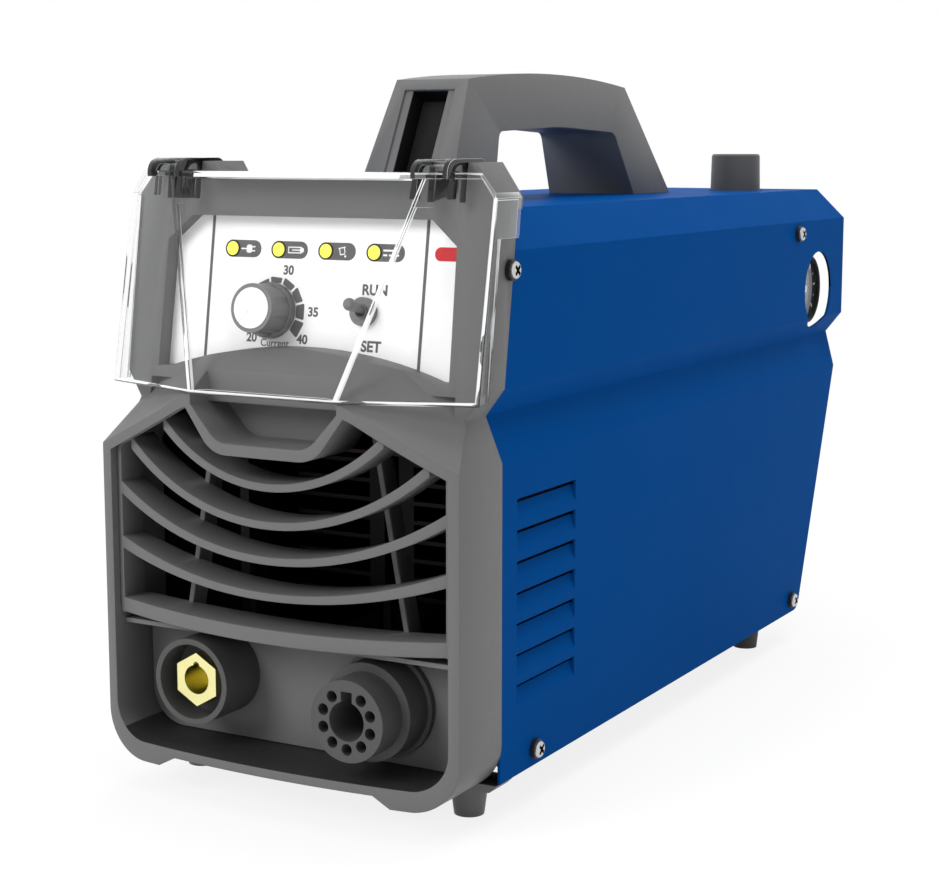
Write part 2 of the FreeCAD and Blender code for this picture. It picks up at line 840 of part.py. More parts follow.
def make_control_plate():
    """White panel plate with holes for lamps, dial shaft and toggle bush."""
    plate = box(-panel_half, panel_half, 0, panel_t, -panel_low, panel_top)
    cuts = []
    for i in range(4):
        x = led_x + led_pitch * i
        cuts.append(rod(led_r + 0.1, V(x, -1, led_z), V(x, panel_t + 1, led_z)))
    cuts.append(rod(bush_r + 0.4 + shaft_gap, V(dial_x, -1, dial_z), V(dial_x, panel_t + 1, dial_z)))
    cuts.append(rod(bush_r + 0.1, V(switch_x, -1, switch_z), V(switch_x, panel_t + 1, switch_z)))
    return on_panel(plate.cut(cuts))


def make_led_lenses():
    """Four indicator lenses, flat and a little proud of the panel."""
    lenses = []
    for i in range(4):
        x = led_x + led_pitch * i
        lenses.append(on_panel(rod(led_r, V(x, -led_proud, led_z), V(x, panel_t + led_behind, led_z))))
    return lenses


def make_potentiometer():
    """Can and bush behind the panel."""
    can = rod(pot_r, V(dial_x, panel_t, dial_z), V(dial_x, panel_t + pot_deep, dial_z))
    bush = rod(bush_r + 0.4, V(dial_x, -0.2, dial_z), V(dial_x, panel_t, dial_z))
    bore = rod(knob_bore - 1 + shaft_gap, V(dial_x, -1, dial_z), V(dial_x, panel_t + 6, dial_z))
    return on_panel(can.fuse(bush).cut(bore))


def make_pot_shaft():
    """Shaft that turns with the knob."""
    return on_panel(rod(knob_bore - 1, V(dial_x, -knob_tall + 4, dial_z), V(dial_x, panel_t + 5.8, dial_z)))


def make_current_knob():
    """Fluted knob with a skirt, turned down to a cap seat at the front."""
    start = -knob_gap
    skirt = rod(knob_skirt, V(dial_x, start - knob_skirt_tall, dial_z), V(dial_x, start, dial_z))
    barrel = cone(knob_r, knob_r - 0.6, V(dial_x, start, dial_z), V(dial_x, -knob_tall, dial_z))
    flutes = []
    for i in range(flute_count):
        a = 2 * math.pi * (i + 0.5) / flute_count
        x = dial_x + (knob_r + flute_r - flute_deep) * math.cos(a)
        z = dial_z + (knob_r + flute_r - flute_deep) * math.sin(a)
        flutes.append(rod(flute_r, V(x, -knob_tall + 2.4, z), V(x, start - knob_skirt_tall, z)))
    body = barrel.cut(flutes).fuse(skirt)
    seat = rod(knob_cap_r, V(dial_x, -knob_tall - 1, dial_z), V(dial_x, -knob_tall + 1.0, dial_z))
    bore = rod(knob_bore - 1, V(dial_x, -knob_tall + 4, dial_z), V(dial_x, 1, dial_z))
    return on_panel(body.cut([seat, bore]))


def make_knob_cap():
    """Flat white cap with a pointer groove towards the lowest setting."""
    cap = rod(knob_cap_r, V(dial_x, -knob_tall - 0.4, dial_z), V(dial_x, -knob_tall + 1.0, dial_z))
    groove = box(dial_x - 0.3, dial_x + 0.3, -knob_tall - 1, -knob_tall, dial_z + 1.5, dial_z + knob_cap_r)
    groove.rotate(V(dial_x, 0, dial_z), V(0, 1, 0), -138)
    return on_panel(cap.cut(groove))


def make_toggle_body():
    """Toggle switch case and threaded bush."""
    case = box(switch_x - switch_w / 2, switch_x + switch_w / 2, panel_t, panel_t + switch_deep,
               switch_z - switch_h / 2, switch_z + switch_h / 2)
    bush = rod(bush_r, V(switch_x, -nut_t - 1.2, switch_z), V(switch_x, panel_t, switch_z))
    room = cone(lever_r + 1.1, lever_r + 0.4, V(switch_x, -nut_t - 1.3, switch_z),
                V(switch_x, lever_root + 1.2, switch_z))
    pin_hole = rod(lever_pin_r + 0.05, V(switch_x - lever_pin_half - 0.1, 0, switch_z),
                   V(switch_x + lever_pin_half + 0.1, 0, switch_z))
    return on_panel(case.fuse(bush).cut([room, pin_hole]))


def make_toggle_nut():
    """Round nut on the toggle's bush."""
    nut = rod(nut_r, V(switch_x, -nut_t, switch_z), V(switch_x, 0, switch_z))
    return on_panel(nut.cut(rod(bush_r + 0.05, V(switch_x, -5, switch_z), V(switch_x, 5, switch_z))))


def make_toggle_lever():
    """Lever with a ball tip on its cross pin, resting tilted up."""
    foot = V(switch_x, lever_root, switch_z)
    root = V(switch_x + lever_r - 0.4, lever_root, switch_z)
    wide = V(switch_x + lever_tip_r, -lever_reach, switch_z)
    slant = lever_tip_r * math.sqrt(0.5)
    bend = V(switch_x + slant, -lever_reach - slant, switch_z)
    tip = V(switch_x, -lever_reach - lever_tip_r, switch_z)
    edges = [Part.LineSegment(foot, root).toShape(), Part.LineSegment(root, wide).toShape(),
             Part.Arc(wide, bend, tip).toShape(), Part.LineSegment(tip, foot).toShape()]
    lever = Part.Face(Part.Wire(edges)).revolve(foot, V(0, 1, 0), 360)
    pin = rod(lever_pin_r, V(switch_x - lever_pin_half, 0, switch_z), V(switch_x + lever_pin_half, 0, switch_z))
    lever = lever.fuse(pin)
    lever.rotate(V(switch_x, 0, switch_z), V(1, 0, 0), -lever_tilt)
    return on_panel(lever)


def make_socket_plate():
    """Plate that carries both sockets, with a shelf up to the lower bar."""
    side = cover_half + bezel_proud - bezel_wall - 0.3
    low = mid_bottom_z + bezel_wall - 1 + 0.3
    plate = prism_y(both([(side, low, corner_r - bezel_wall), (side, grille_low_z - 0.4)]),
                    yy(plate_y - plate_t), yy(plate_y))
    shelf = box(-side + 0.2, side - 0.2, yy(-30), yy(plate_y), grille_low_z - 2.4, grille_low_z - 0.4)
    cuts = [rod(work_r - 5, V(work_x, yy(-40), work_z), V(work_x, yy(20), work_z)),
            rod(torch_r - 3, V(torch_x, yy(-40), torch_z), V(torch_x, yy(20), torch_z))]
    return plate.fuse(shelf).cut(cuts)


def make_work_socket():
    """Insulating collar with a cup at the front and a threaded tail behind the plate."""
    face = yy(plate_y - plate_t)
    collar = rod(work_r, V(work_x, yy(-work_front), work_z), V(work_x, face, work_z))
    tail = rod(work_r - 5.2, V(work_x, face, work_z), V(work_x, yy(plate_y + socket_tail), work_z))
    cup = rod(work_r - work_wall, V(work_x, yy(-work_front - 1), work_z),
              V(work_x, yy(-work_front + work_cup), work_z))
    seat = prism_y(hexagon(insert_af + 0.2, work_x, work_z), yy(-work_front), yy(plate_y + socket_tail + 1))
    return collar.fuse(tail).cut([cup, seat])


def make_work_insert():
    """Brass hexagon insert with a keyed bore for the clamp cable's plug."""
    front = yy(-work_front + insert_back)
    bar = prism_y(hexagon(insert_af, work_x, work_z), front, yy(plate_y + socket_tail + 4))
    bore = rod(insert_bore_r, V(work_x, front - 1, work_z), V(work_x, front + insert_deep, work_z))
    key_z = work_z + insert_bore_r
    key = rod(key_r, V(work_x, front - 1, key_z), V(work_x, front + insert_deep - 4, key_z))
    stud_start = yy(plate_y + socket_tail + 4)
    stud = rod(5, V(work_x, stud_start, work_z), V(work_x, stud_start + 12, work_z))
    return bar.cut([bore, key]).fuse(stud)


def make_socket_nuts():
    """Round nuts that hold the sockets behind the plate."""
    nuts = []
    for x, z, r in ((work_x, work_z, work_r - 5.2), (torch_x, torch_z, torch_r - 3.2)):
        start = V(x, yy(plate_y), z)
        end = V(x, yy(plate_y + socket_nut_t), z)
        nut = prism_y(hexagon(2 * r + 8, x, z), start.y, end.y).cut(rod(r + 0.1, start, end))
        nuts.append(nut)
    return nuts


def make_torch_socket():
    """Round torch connector: gas bore with a key slot and nine contact holes."""
    face = yy(plate_y - plate_t)
    x = torch_x
    z = torch_z
    body = rod(torch_r, V(x, yy(-torch_front), z), V(x, yy(-torch_collar_y), z))
    collar = rod(torch_collar_r, V(x, yy(-torch_collar_y), z), V(x, face - torch_flange_t, z))
    flange = rod(torch_flange_r, V(x, face - torch_flange_t, z), V(x, face, z))
    tail = rod(torch_r - 3.2, V(x, face, z), V(x, yy(plate_y + socket_tail), z))
    bore = rod(torch_bore_r, V(x, yy(-torch_front) - 1, z), V(x, yy(-torch_front + torch_bore_deep), z))
    key_end = yy(-torch_front + torch_bore_deep - 4)
    key = box(x - torch_key_w / 2, x + torch_key_w / 2, yy(-torch_front) - 1, key_end, z, z + torch_key_h)
    holes = []
    for i in range(1, pin_places):
        a = math.radians(90 + 360 / pin_places * i)
        px = x + pin_circle_r * math.cos(a)
        pz = z + pin_circle_r * math.sin(a)
        hole_end = V(px, yy(-torch_front + pin_hole_deep), pz)
        holes.append(rod(pin_hole_r, V(px, yy(-torch_front) - 1, pz), hole_end))
    return body.fuse([collar, flange, tail]).cut([bore, key] + holes)


def handle_spots():
    """Places of the four handle screws."""
    front = (handle_front_foot + grip_front_foot) / 2
    rear = (handle_rear_foot + grip_rear_foot) / 2
    return [(side * 13.0, yy(back)) for side in (-1, 1) for back in (front, rear)]


def make_handle():
    """Tapered arch with a crowned top, a finger opening and a slot in its front face."""
    top = Part.Arc(V(0, yy(handle_front_top), handle_end_z),
                   V(0, yy((handle_front_top + handle_rear_top) / 2), handle_crown_z),
                   V(0, yy(handle_rear_top), handle_end_z)).toShape()
    corners = [V(0, yy(handle_rear_top), handle_end_z), V(0, yy(handle_rear_foot), cover_top),
               V(0, yy(handle_front_foot), cover_top), V(0, yy(handle_front_top), handle_end_z)]
    lines = [Part.LineSegment(a, b).toShape() for a, b in zip(corners, corners[1:])]
    side = Part.Face(Part.Wire([top] + lines))
    side.translate(V(-40, 0, 0))
    block = side.extrude(V(80, 0, 0))
    taper = both([(handle_foot_half, cover_top), (handle_top_half, handle_crown_z + 1, 2.0)])
    block = block.common(prism_y(taper, yy(0), yy(cover_length)))
    grip = prism_x([
        (yy(grip_front_foot - 4), cover_top - 10),
        (yy(grip_front_top), grip_end_z, 5.0),
        (yy((grip_front_top + grip_rear_top) / 2), grip_mid_z, 300.0),
        (yy(grip_rear_top), grip_end_z, 7.0),
        (yy(grip_rear_foot + 4), cover_top - 10),
    ], -60, 60)
    lean = math.atan2(handle_front_top - handle_front_foot, handle_end_z - cover_top)
    slots = []
    for half, deep in ((handle_slot_half, handle_slot_deep), (handle_face_half, handle_face_deep)):
        slot = box(-half, half, -30, deep, 5, 52 / math.cos(lean))
        slot.rotate(V(0, 0, 0), V(1, 0, 0), -math.degrees(lean))
        slot.translate(V(0, yy(handle_front_foot), cover_top))
        slots.append(slot)
    pilots = [rod(screw_r + 0.05, V(x, y, cover_top - 1), V(x, y, cover_top + 9)) for x, y in handle_spots()]
    return block.cut([grip] + slots + pilots)


def make_handle_screws():
    """Hexagon head screws up through the cover into the handle."""
    screws = []
    for x, y in handle_spots():
        low = cover_top - sheet_t
        shank = rod(screw_r, V(x, y, low), V(x, y, cover_top + 8))
        head = prism_z(hexagon(2 * head_r, x, y), low - head_t, low)
        screws.append(shank.fuse(head))
    return screws


def make_base_tray():
    """Folded base: floor with two upright side flanges."""
    half = cover_half - sheet_t - tray_gap
    z0 = sheet_bottom + 1.2
    u = both([(half, z0), (half, z0 + tray_wall)])
    solid = prism_y(u, yy(18), yy(tray_rear))
    inner = half - tray_t
    inside = prism_y(both([(inner, z0 + tray_t), (inner, z0 + tray_wall + 1)]), yy(17), yy(tray_rear + 1))
    tray = solid.cut(inside)
    lip = box(-half + 3, half - 3, yy(0.3), yy(18), z0 + 6, z0 + 6 + tray_t)
    step = box(-half + 3, half - 3, yy(18), yy(18 + tray_t), z0, z0 + 6 + tray_t)
    vents = [box(-60, 60, yy(60 + 22 * i), yy(66 + 22 * i), z0 - 1, z0 + 5) for i in range(5)]
    return tray.fuse([lip, step]).cut(vents + screw_cuts(screw_gap))


def make_rear_feet():
    """Two tapered rear feet under the tray."""
    feet = []
    for x in (-foot_x, foot_x):
        top = V(x, yy(foot_rear_y), sheet_bottom + 1.2)
        feet.append(cone(foot_low_r, foot_top_r, V(x, yy(foot_rear_y), 0), top))
    return feet


def make_rear_panel():
    """Panel set into the cover's rear, with flanges that the side screws hold."""
    gap = sheet_t + tray_gap
    half = cover_profile(gap)
    floor = sheet_bottom + 1.2 + tray_t + 0.2
    half[0] = (half[0][0] - tray_t - 0.2, floor)
    half.insert(1, (half[0][0], floor + tray_wall))
    half.insert(2, (cover_half - gap, floor + tray_wall))
    shape = list(half) + [(-x, z) for x, z in reversed(half)]
    plate = prism_y(shape, yy(rear_y), yy(rear_y + tray_t))
    flanges = []
    for turn in (1, -1):
        low = upper_bottom + 6
        flange = box(cover_half - gap - tray_t, cover_half - gap, yy(rear_y), yy(rear_y + rear_flange),
                     low, chamfer_z - 2)
        flanges.append(flange if turn > 0 else mirrored(flange))
    cuts = [rod(fan_hole_r, V(fan_x, yy(rear_y - 1), fan_z), V(fan_x, yy(rear_y + 5), fan_z)),
            rod(gland_r + 0.2, V(gland_x, yy(rear_y - 1), gland_z), V(gland_x, yy(rear_y + 5), gland_z)),
            rod(pipe_r + 0.3, V(reg_x, yy(rear_y - 1), reg_z), V(reg_x, yy(rear_y + 5), reg_z)),
            box(rocker_x - bezel_w / 2 + 2, rocker_x + bezel_w / 2 - 2, yy(rear_y - 1), yy(rear_y + 5),
                rocker_z - bezel_h / 2 + 2, rocker_z + bezel_h / 2 - 2)]
    for x, z in fan_corners():
        cuts.append(rod(screw_r + 0.2, V(x, yy(rear_y - 1), z), V(x, yy(rear_y + 5), z)))
    return plate.fuse(flanges).cut(cuts + screw_cuts(screw_gap))


def fan_corners():
    """Corner hole places of the fan."""
    reach = fan_size / 2 - fan_hole_in
    return [(fan_x + sx * reach, fan_z + sz * reach) for sx in (-1, 1) for sz in (-1, 1)]


def make_fan_frame():
    """Square fan frame with a round duct, a motor hub and three struts."""
    y0 = yy(rear_y - fan_t)
    y1 = yy(rear_y)
    half = fan_size / 2
    frame = prism_y([(fan_x - half, fan_z - half, 4), (fan_x + half, fan_z - half, 4),
                     (fan_x + half, fan_z + half, 4), (fan_x - half, fan_z + half, 4)], y0, y1)
    frame = frame.cut(rod(fan_hole_r, V(fan_x, y0 - 1, fan_z), V(fan_x, y1 + 1, fan_z)))
    hub = rod(hub_r + 1, V(fan_x, y0, fan_z), V(fan_x, y0 + 3, fan_z))
    struts = []
    for i in range(3):
        strut = box(0, fan_hole_r + 1, y0, y0 + 3, -1.5, 1.5)
        strut.rotate(V(0, 0, 0), V(0, 1, 0), 120 * i + 30)
        strut.translate(V(fan_x, 0, fan_z))
        struts.append(strut)
    cuts = [rod(screw_r + 0.2, V(x, y0 - 1, z), V(x, y1 + 1, z)) for x, z in fan_corners()]
    cuts.append(rod(fan_pin_r + 0.05, V(fan_x, y0 - 1, fan_z), V(fan_x, y1, fan_z)))
    return frame.fuse([hub] + struts).cut(cuts)


def make_fan_rotor():
    """Hub with pitched blades and its pin."""
    y0 = yy(rear_y - fan_t + 4)
    y1 = yy(rear_y - 3)
    hub = rod(hub_r, V(fan_x, y0, fan_z), V(fan_x, y1, fan_z))
    pin = rod(fan_pin_r, V(fan_x, yy(rear_y - fan_t) + 0.3, fan_z), V(fan_x, y0 + 2, fan_z))
    blades = []
    for i in range(blade_count):
        blade = Part.makeBox(blade_r, 24, blade_t, V(0, -12, -blade_t / 2))
        blade.rotate(V(0, 0, 0), V(1, 0, 0), blade_pitch)
        blade = blade.common(box(-1, blade_r + 1, -8.5, 8.5, -30, 30))
        blade.rotate(V(0, 0, 0), V(0, 1, 0), 360 / blade_count * i)
        blade.translate(V(fan_x, (y0 + y1) / 2, fan_z))
        blades.append(blade)
    disc = rod(blade_r, V(fan_x, y0 - 5, fan_z), V(fan_x, y1 + 5, fan_z))
    return hub.fuse([blade.common(disc) for blade in blades]).fuse(pin)


def make_fan_guard():
    """Flat ring guard outside the rear panel."""
    y0 = yy(rear_y + tray_t)
    y1 = y0 + guard_t
    parts = []
    for i in range(guard_rings):
        r = hub_r - 6 + (fan_hole_r + 2 - hub_r + 6) * i / (guard_rings - 1)
        ring = rod(r + guard_w / 2, V(fan_x, y0, fan_z), V(fan_x, y1, fan_z))
        parts.append(ring.cut(rod(r - guard_w / 2, V(fan_x, y0 - 1, fan_z), V(fan_x, y1 + 1, fan_z))))
    spokes = []
    for i in range(4):
        spoke = box(0, math.sqrt(2) * (fan_size / 2 - fan_hole_in), y0, y1, -1.2, 1.2)
        spoke.rotate(V(0, 0, 0), V(0, 1, 0), 90 * i + 45)
        spoke.translate(V(fan_x, 0, fan_z))
        spokes.append(spoke)
    eyes = [box(x - eye_half, x + eye_half, y0, y1, z - eye_half, z + eye_half) for x, z in fan_corners()]
    holes = [rod(screw_r + 0.2, V(x, y0 - 1, z), V(x, y1 + 1, z)) for x, z in fan_corners()]
    return parts[0].fuse(parts[1:] + spokes + eyes).cut(holes)


def make_fan_screws():
    """Screws through guard, panel and fan."""
    screws = []
    for x, z in fan_corners():
        y = yy(rear_y + tray_t) + guard_t
        head = rod(head_r, V(x, y, z), V(x, y + head_t, z))
        screws.append(head.fuse(rod(screw_r, V(x, y, z), V(x, yy(rear_y - fan_t), z))))
    return screws


def make_power_switch():
    """Rocker switch case with its rim on the rear panel."""
    y0 = yy(rear_y + tray_t)
    rim = box(rocker_x - bezel_w / 2, rocker_x + bezel_w / 2, y0, y0 + 2,
              rocker_z - bezel_h / 2, rocker_z + bezel_h / 2)
    case = box(rocker_x - bezel_w / 2 + 2.2, rocker_x + bezel_w / 2 - 2.2, y0 - 24, y0,
               rocker_z - bezel_h / 2 + 2.2, rocker_z + bezel_h / 2 - 2.2)
    room = box(rocker_x - rocker_w / 2 - 0.4, rocker_x + rocker_w / 2 + 0.4, y0 - 7, y0 + 3,
               rocker_z - rocker_h / 2 - 0.6, rocker_z + rocker_h / 2 + 0.6)
    reach = rocker_w / 2 + rocker_pin_out + 0.1
    axis_y = y0 - 1
    pin_hole = rod(rocker_pin_r + 0.05, V(rocker_x - reach, axis_y, rocker_z), V(rocker_x + reach, axis_y, rocker_z))
    return rim.fuse(case).cut([room, pin_hole])


def make_power_rocker():
    """Rocker with two faces on its trunnions, resting on its off side."""
    y0 = yy(rear_y + tray_t)
    half = rocker_h / 2
    profile = [(y0 - 3.4, rocker_z - half * 0.8), (y0 + 2.4, rocker_z - half), (y0 + 1.2, rocker_z),
               (y0 + 2.4, rocker_z + half), (y0 - 3.4, rocker_z + half * 0.8), (y0 - 4.6, rocker_z)]
    rocker = prism_x(profile, rocker_x - rocker_w / 2, rocker_x + rocker_w / 2)
    rocker.rotate(V(rocker_x, y0 - 1, rocker_z), V(1, 0, 0), rocker_tilt)
    reach = rocker_w / 2 + rocker_pin_out
    pin = rod(rocker_pin_r, V(rocker_x - reach, y0 - 1, rocker_z), V(rocker_x + reach, y0 - 1, rocker_z))
    return rocker.fuse(pin)


def make_cable_gland():
    """Gland body: hexagon and dome outside, bore right through."""
    y0 = yy(rear_y + tray_t)
    hexa = prism_y(hexagon(gland_hex, gland_x, gland_z), y0, y0 + 6)
    dome = cone(gland_hex / 2 - 0.5, gland_bore_r + 3, V(gland_x, y0 + 6, gland_z),
                V(gland_x, y0 + 20, gland_z))
    thread = rod(gland_r, V(gland_x, yy(rear_y - 10), gland_z), V(gland_x, y0, gland_z))
    bore = rod(gland_bore_r, V(gland_x, yy(rear_y - 11), gland_z), V(gland_x, y0 + 21, gland_z))
    return hexa.fuse([dome, thread]).cut(bore)


def make_gland_nut():
    """Lock nut of the gland inside the panel."""
    nut = prism_y(hexagon(gland_hex, gland_x, gland_z), yy(rear_y - 5), yy(rear_y))
    bore = rod(gland_r + 0.05, V(gland_x, yy(rear_y - 6), gland_z), V(gland_x, yy(rear_y + 1), gland_z))
    return nut.cut(bore)


def make_regulator_bracket():
    """Angle bracket from the rear panel to the regulator's bonnet."""
    y0 = yy(rear_y + tray_t)
    arm = prism_z([(reg_x - 18, y0), (reg_x + 18, y0), (reg_x + 18, yy(reg_y) + 6, 12),
                   (reg_x, yy(reg_y) + 18, 10), (reg_x - 18, yy(reg_y) + 6, 12)], reg_top, reg_top + bracket_t)
    foot = box(reg_x - 18, reg_x + 18, y0, y0 + bracket_t, reg_top - bracket_drop + 10, reg_top + 14)
    hole = rod(bonnet_r + 0.1, V(reg_x, yy(reg_y), reg_top - 1), V(reg_x, yy(reg_y), reg_top + 5))
    bolts = []
    for x in (reg_x - 12, reg_x + 12):
        bolts.append(rod(screw_r + 0.1, V(x, y0 - 3, reg_top + 8), V(x, y0 + 5, reg_top + 8)))
    return arm.fuse(foot).cut([hole] + bolts)


def make_regulator_body():
    """Regulator body with its bonnet and ports."""
    x = reg_x
    y = yy(reg_y)
    block = prism_z([(x - reg_half, y - reg_half, 6), (x + reg_half, y - reg_half, 6),
                     (x + reg_half, y + reg_half, 6), (x - reg_half, y + reg_half, 6)], reg_low, reg_top)
    bonnet = rod(bonnet_r, V(x, y, reg_top), V(x, y, bonnet_top))
    bore = rod(stem_r + 0.05, V(x, y, reg_top - 10), V(x, y, bonnet_top + 1))
    gauge_port = rod(5.2, V(x + reg_half - 8, y, reg_z), V(x + reg_half + 1, y, reg_z))
    ports = rod(pipe_r + 0.05, V(x, y - reg_half - 1, reg_z), V(x, y - reg_half + 8, reg_z))
    inlet_end = y + reg_half - inlet_thread - 1
    inlet = rod(inlet_thread_r + 0.1, V(x, inlet_end, reg_z), V(x, y + reg_half + 1, reg_z))
    return block.fuse(bonnet).cut([bore, gauge_port, ports, inlet])


def make_regulator_stem():
    """Adjusting screw that turns with the knob."""
    x = reg_x
    y = yy(reg_y)
    return rod(stem_r, V(x, y, reg_top - 7), V(x, y, stem_top))


def make_regulator_knob():
    """Knob that stands up through the cover: lifts to unlock, then turns."""
    x = reg_x
    y = yy(reg_y)
    body = cone(air_knob_foot_r, air_knob_r, V(x, y, air_knob_low), V(x, y, air_knob_top - 1))
    rim = cone(air_knob_r, air_knob_r - 0.9, V(x, y, air_knob_top - 1), V(x, y, air_knob_top))
    room = rod(bonnet_r + 0.8, V(x, y, air_knob_low - 1), V(x, y, bonnet_top + air_lift + 0.6))
    bore = rod(stem_r + 0.05, V(x, y, air_knob_low), V(x, y, stem_top + 1))
    return body.fuse(rim).cut([room, bore])


def make_regulator_bowl():
    """Clear bowl that screws into the regulator from below."""
    x = reg_x
    y = yy(reg_y)
    outer = rod(bowl_r, V(x, y, bowl_low + 12), V(x, y, reg_low))
    end = cone(bowl_r - 7, bowl_r, V(x, y, bowl_low), V(x, y, bowl_low + 12))
    inner = rod(bowl_r - bowl_t, V(x, y, bowl_low + 13), V(x, y, reg_low + 1))
    inner_end = cone(bowl_r - 7 - bowl_t, bowl_r - bowl_t, V(x, y, bowl_low + bowl_t), V(x, y, bowl_low + 13))
    drain = rod(3.0, V(x, y, bowl_low - 6), V(x, y, bowl_low + 3))
    return outer.fuse(end).cut([inner, inner_end]).fuse(drain)


def make_pressure_gauge():
    """Gauge case and stem facing the round hole in the cover's side."""
    y = yy(reg_y)
    case = rod(gauge_r, V(gauge_front - gauge_deep, y, reg_z), V(gauge_front, y, reg_z))
    stem = rod(5.0, V(reg_x + reg_half - 7, y, reg_z), V(gauge_front - gauge_deep, y, reg_z))
    dial = rod(gauge_r - 1.6, V(gauge_front - 2.4, y, reg_z), V(gauge_front + 1, y, reg_z))
    return case.fuse(stem).cut(dial)


def make_gauge_lens():
    """Clear lens over the gauge's dial."""
    y = yy(reg_y)
    return rod(gauge_r - 1.8, V(gauge_front - gauge_lens_t - 0.2, y, reg_z), V(gauge_front - 0.2, y, reg_z))


def make_air_inlet():
    """Male quick plug at the regulator's rear port."""
    x = reg_x
    y = yy(reg_y + reg_half)
    hexa = prism_y(hexagon(inlet_hex, x, reg_z), y, y + inlet_hex_t)
    thread = rod(inlet_thread_r, V(x, y - inlet_thread, reg_z), V(x, y, reg_z))
    barrel_end = y + inlet_hex_t + inlet_barrel
    tip_start = barrel_end + inlet_groove
    end = tip_start + inlet_tip
    barrel = rod(inlet_r, V(x, y + inlet_hex_t, reg_z), V(x, barrel_end, reg_z))
    groove = rod(inlet_groove_r, V(x, barrel_end, reg_z), V(x, tip_start, reg_z))
    tip = cone(inlet_tip_r, inlet_groove_r, V(x, tip_start, reg_z), V(x, end, reg_z))
    bore = rod(inlet_bore_r, V(x, y - inlet_thread - 1, reg_z), V(x, end + 1, reg_z))
    return hexa.fuse([thread, barrel, groove, tip]).cut(bore)


def make_outlet_pipe():
    """Straight pipe from the regulator through the rear panel to the valve."""
    start = V(reg_x, yy(reg_y - reg_half + 7), reg_z)
    end = V(reg_x, yy(rear_y - 26), reg_z)
    return rod(pipe_r, end, start).cut(rod(pipe_r - 1.5, end + V(0, -1, 0), start + V(0, 1, 0)))


def make_solenoid_valve():
    """Gas valve inside the rear panel: brass block with its coil on top."""
    x = reg_x
    y1 = yy(rear_y - 20)
    block = box(x - 14, x + 14, y1 - 32, y1, reg_z - 12, reg_z + 12)
    coil = rod(12, V(x, y1 - 16, reg_z + 12), V(x, y1 - 16, reg_z + 44))
    port = rod(pipe_r + 0.05, V(x, y1 - 7, reg_z), V(x, y1 + 1, reg_z))
    lug = box(x - 14, x + 14, y1, yy(rear_y), reg_z - 12, reg_z - 8)
    return block.fuse([coil, lug]).cut(port)


def make_main_board():
    """Power board across the machine."""
    return box(-board_half, board_half, yy(board_front), yy(board_rear), board_z, board_z + board_t)


def make_board_posts():
    """Hexagon posts from the tray to the main board."""
    floor = sheet_bottom + 1.2 + tray_t
    posts = []
    for x in (-board_half + 6, board_half - 6):
        for back in (board_front + 12, (board_front + board_rear) / 2, board_rear - 8):
            posts.append(prism_z(hexagon(post_af, x, yy(back)), floor, board_z))
    return posts


def make_heatsinks():
    """Two finned extrusions hanging under the board."""
    sinks = []
    for turn in (-1, 1):
        x0 = 4.0
        top = board_z - 0.2
        base = box(x0, x0 + sink_base, yy(sink_front), yy(sink_rear), top - sink_h, top)
        fins = []
        for i in range(fin_count):
            z = top - sink_h + (sink_h - fin_t) * i / (fin_count - 1)
            fins.append(box(x0, x0 + sink_w * 0.8, yy(sink_front), yy(sink_rear), z, z + fin_t))
        sink = base.fuse(fins)
        sinks.append(sink if turn > 0 else mirrored(sink))
    return sinks


def make_transformer():
    """Ferrite core with its winding block on the tray."""
    floor = sheet_bottom + 1.2 + tray_t
    core = box(-32, 32, yy(200), yy(252), floor, floor + 64)
    windows = [box(-22, -8, yy(199), yy(253), floor + 12, floor + 52),
               box(8, 22, yy(199), yy(253), floor + 12, floor + 52)]
    return core.cut(windows)


def make_transformer_winding():
    """Winding round the middle leg of the core."""
    floor = sheet_bottom + 1.2 + tray_t
    outer = box(-21.5, 21.5, yy(190), yy(262), floor + 13, floor + 51)
    leg = box(-8.3, 8.3, yy(199.5), yy(252.5), floor, floor + 70)
    return outer.cut(leg)


def make_capacitors():
    """Row of electrolytic capacitors standing on the board."""
    caps = []
    for i in range(3):
        base = V(-42, yy(90 + 40 * i), board_z + board_t)
        caps.append(rod(cap_r, base, base + V(0, 0, cap_h)))
    return caps


def make_control_board():
    """Board behind the control panel, held by the potentiometer and toggle."""
    y0 = panel_t + switch_deep
    return on_panel(box(-66, 66, y0, y0 + board_t, -30, 30))


def make_board_spacers():
    """Hexagon spacers between the panel plate and the control board."""
    spacers = []
    for x in (-60, 60):
        for z in (-24, 24):
            spacers.append(on_panel(prism_y(hexagon(spacer_af, x, z), panel_t, panel_t + switch_deep)))
    return spacers


def make_side_screws():
    """Pan head screws, four on each side."""
    screws = []
    for i, (back, z) in enumerate(screw_spots):
        proud = bezel_proud if i == 0 else 0.0
        for side in (-1, 1):
            skin = side * (cover_half + proud + bush_t)
            head = cone(head_r, head_r - 1.0, V(skin, yy(back), z), V(skin + side * head_t, yy(back), z))
            shank = rod(screw_r, V(skin, yy(back), z), V(side * (cover_half - screw_reach), yy(back), z))
            screws.append(head.fuse(shank))
    return screws


def make_screw_bushes():
    """Black bushes under the side screws' heads."""
    bushes = []
    for i, (back, z) in enumerate(screw_spots):
        proud = bezel_proud if i == 0 else 0.0
        for side in (-1, 1):
            skin = side * (cover_half + proud)
            end = skin + side * bush_t
            bush = rod(bush_rim_r, V(skin, yy(back), z), V(end, yy(back), z))
            bore = rod(screw_r + 0.05, V(skin - side, yy(back), z), V(end + side, yy(back), z))
            bushes.append(bush.cut(bore))
    return bushes


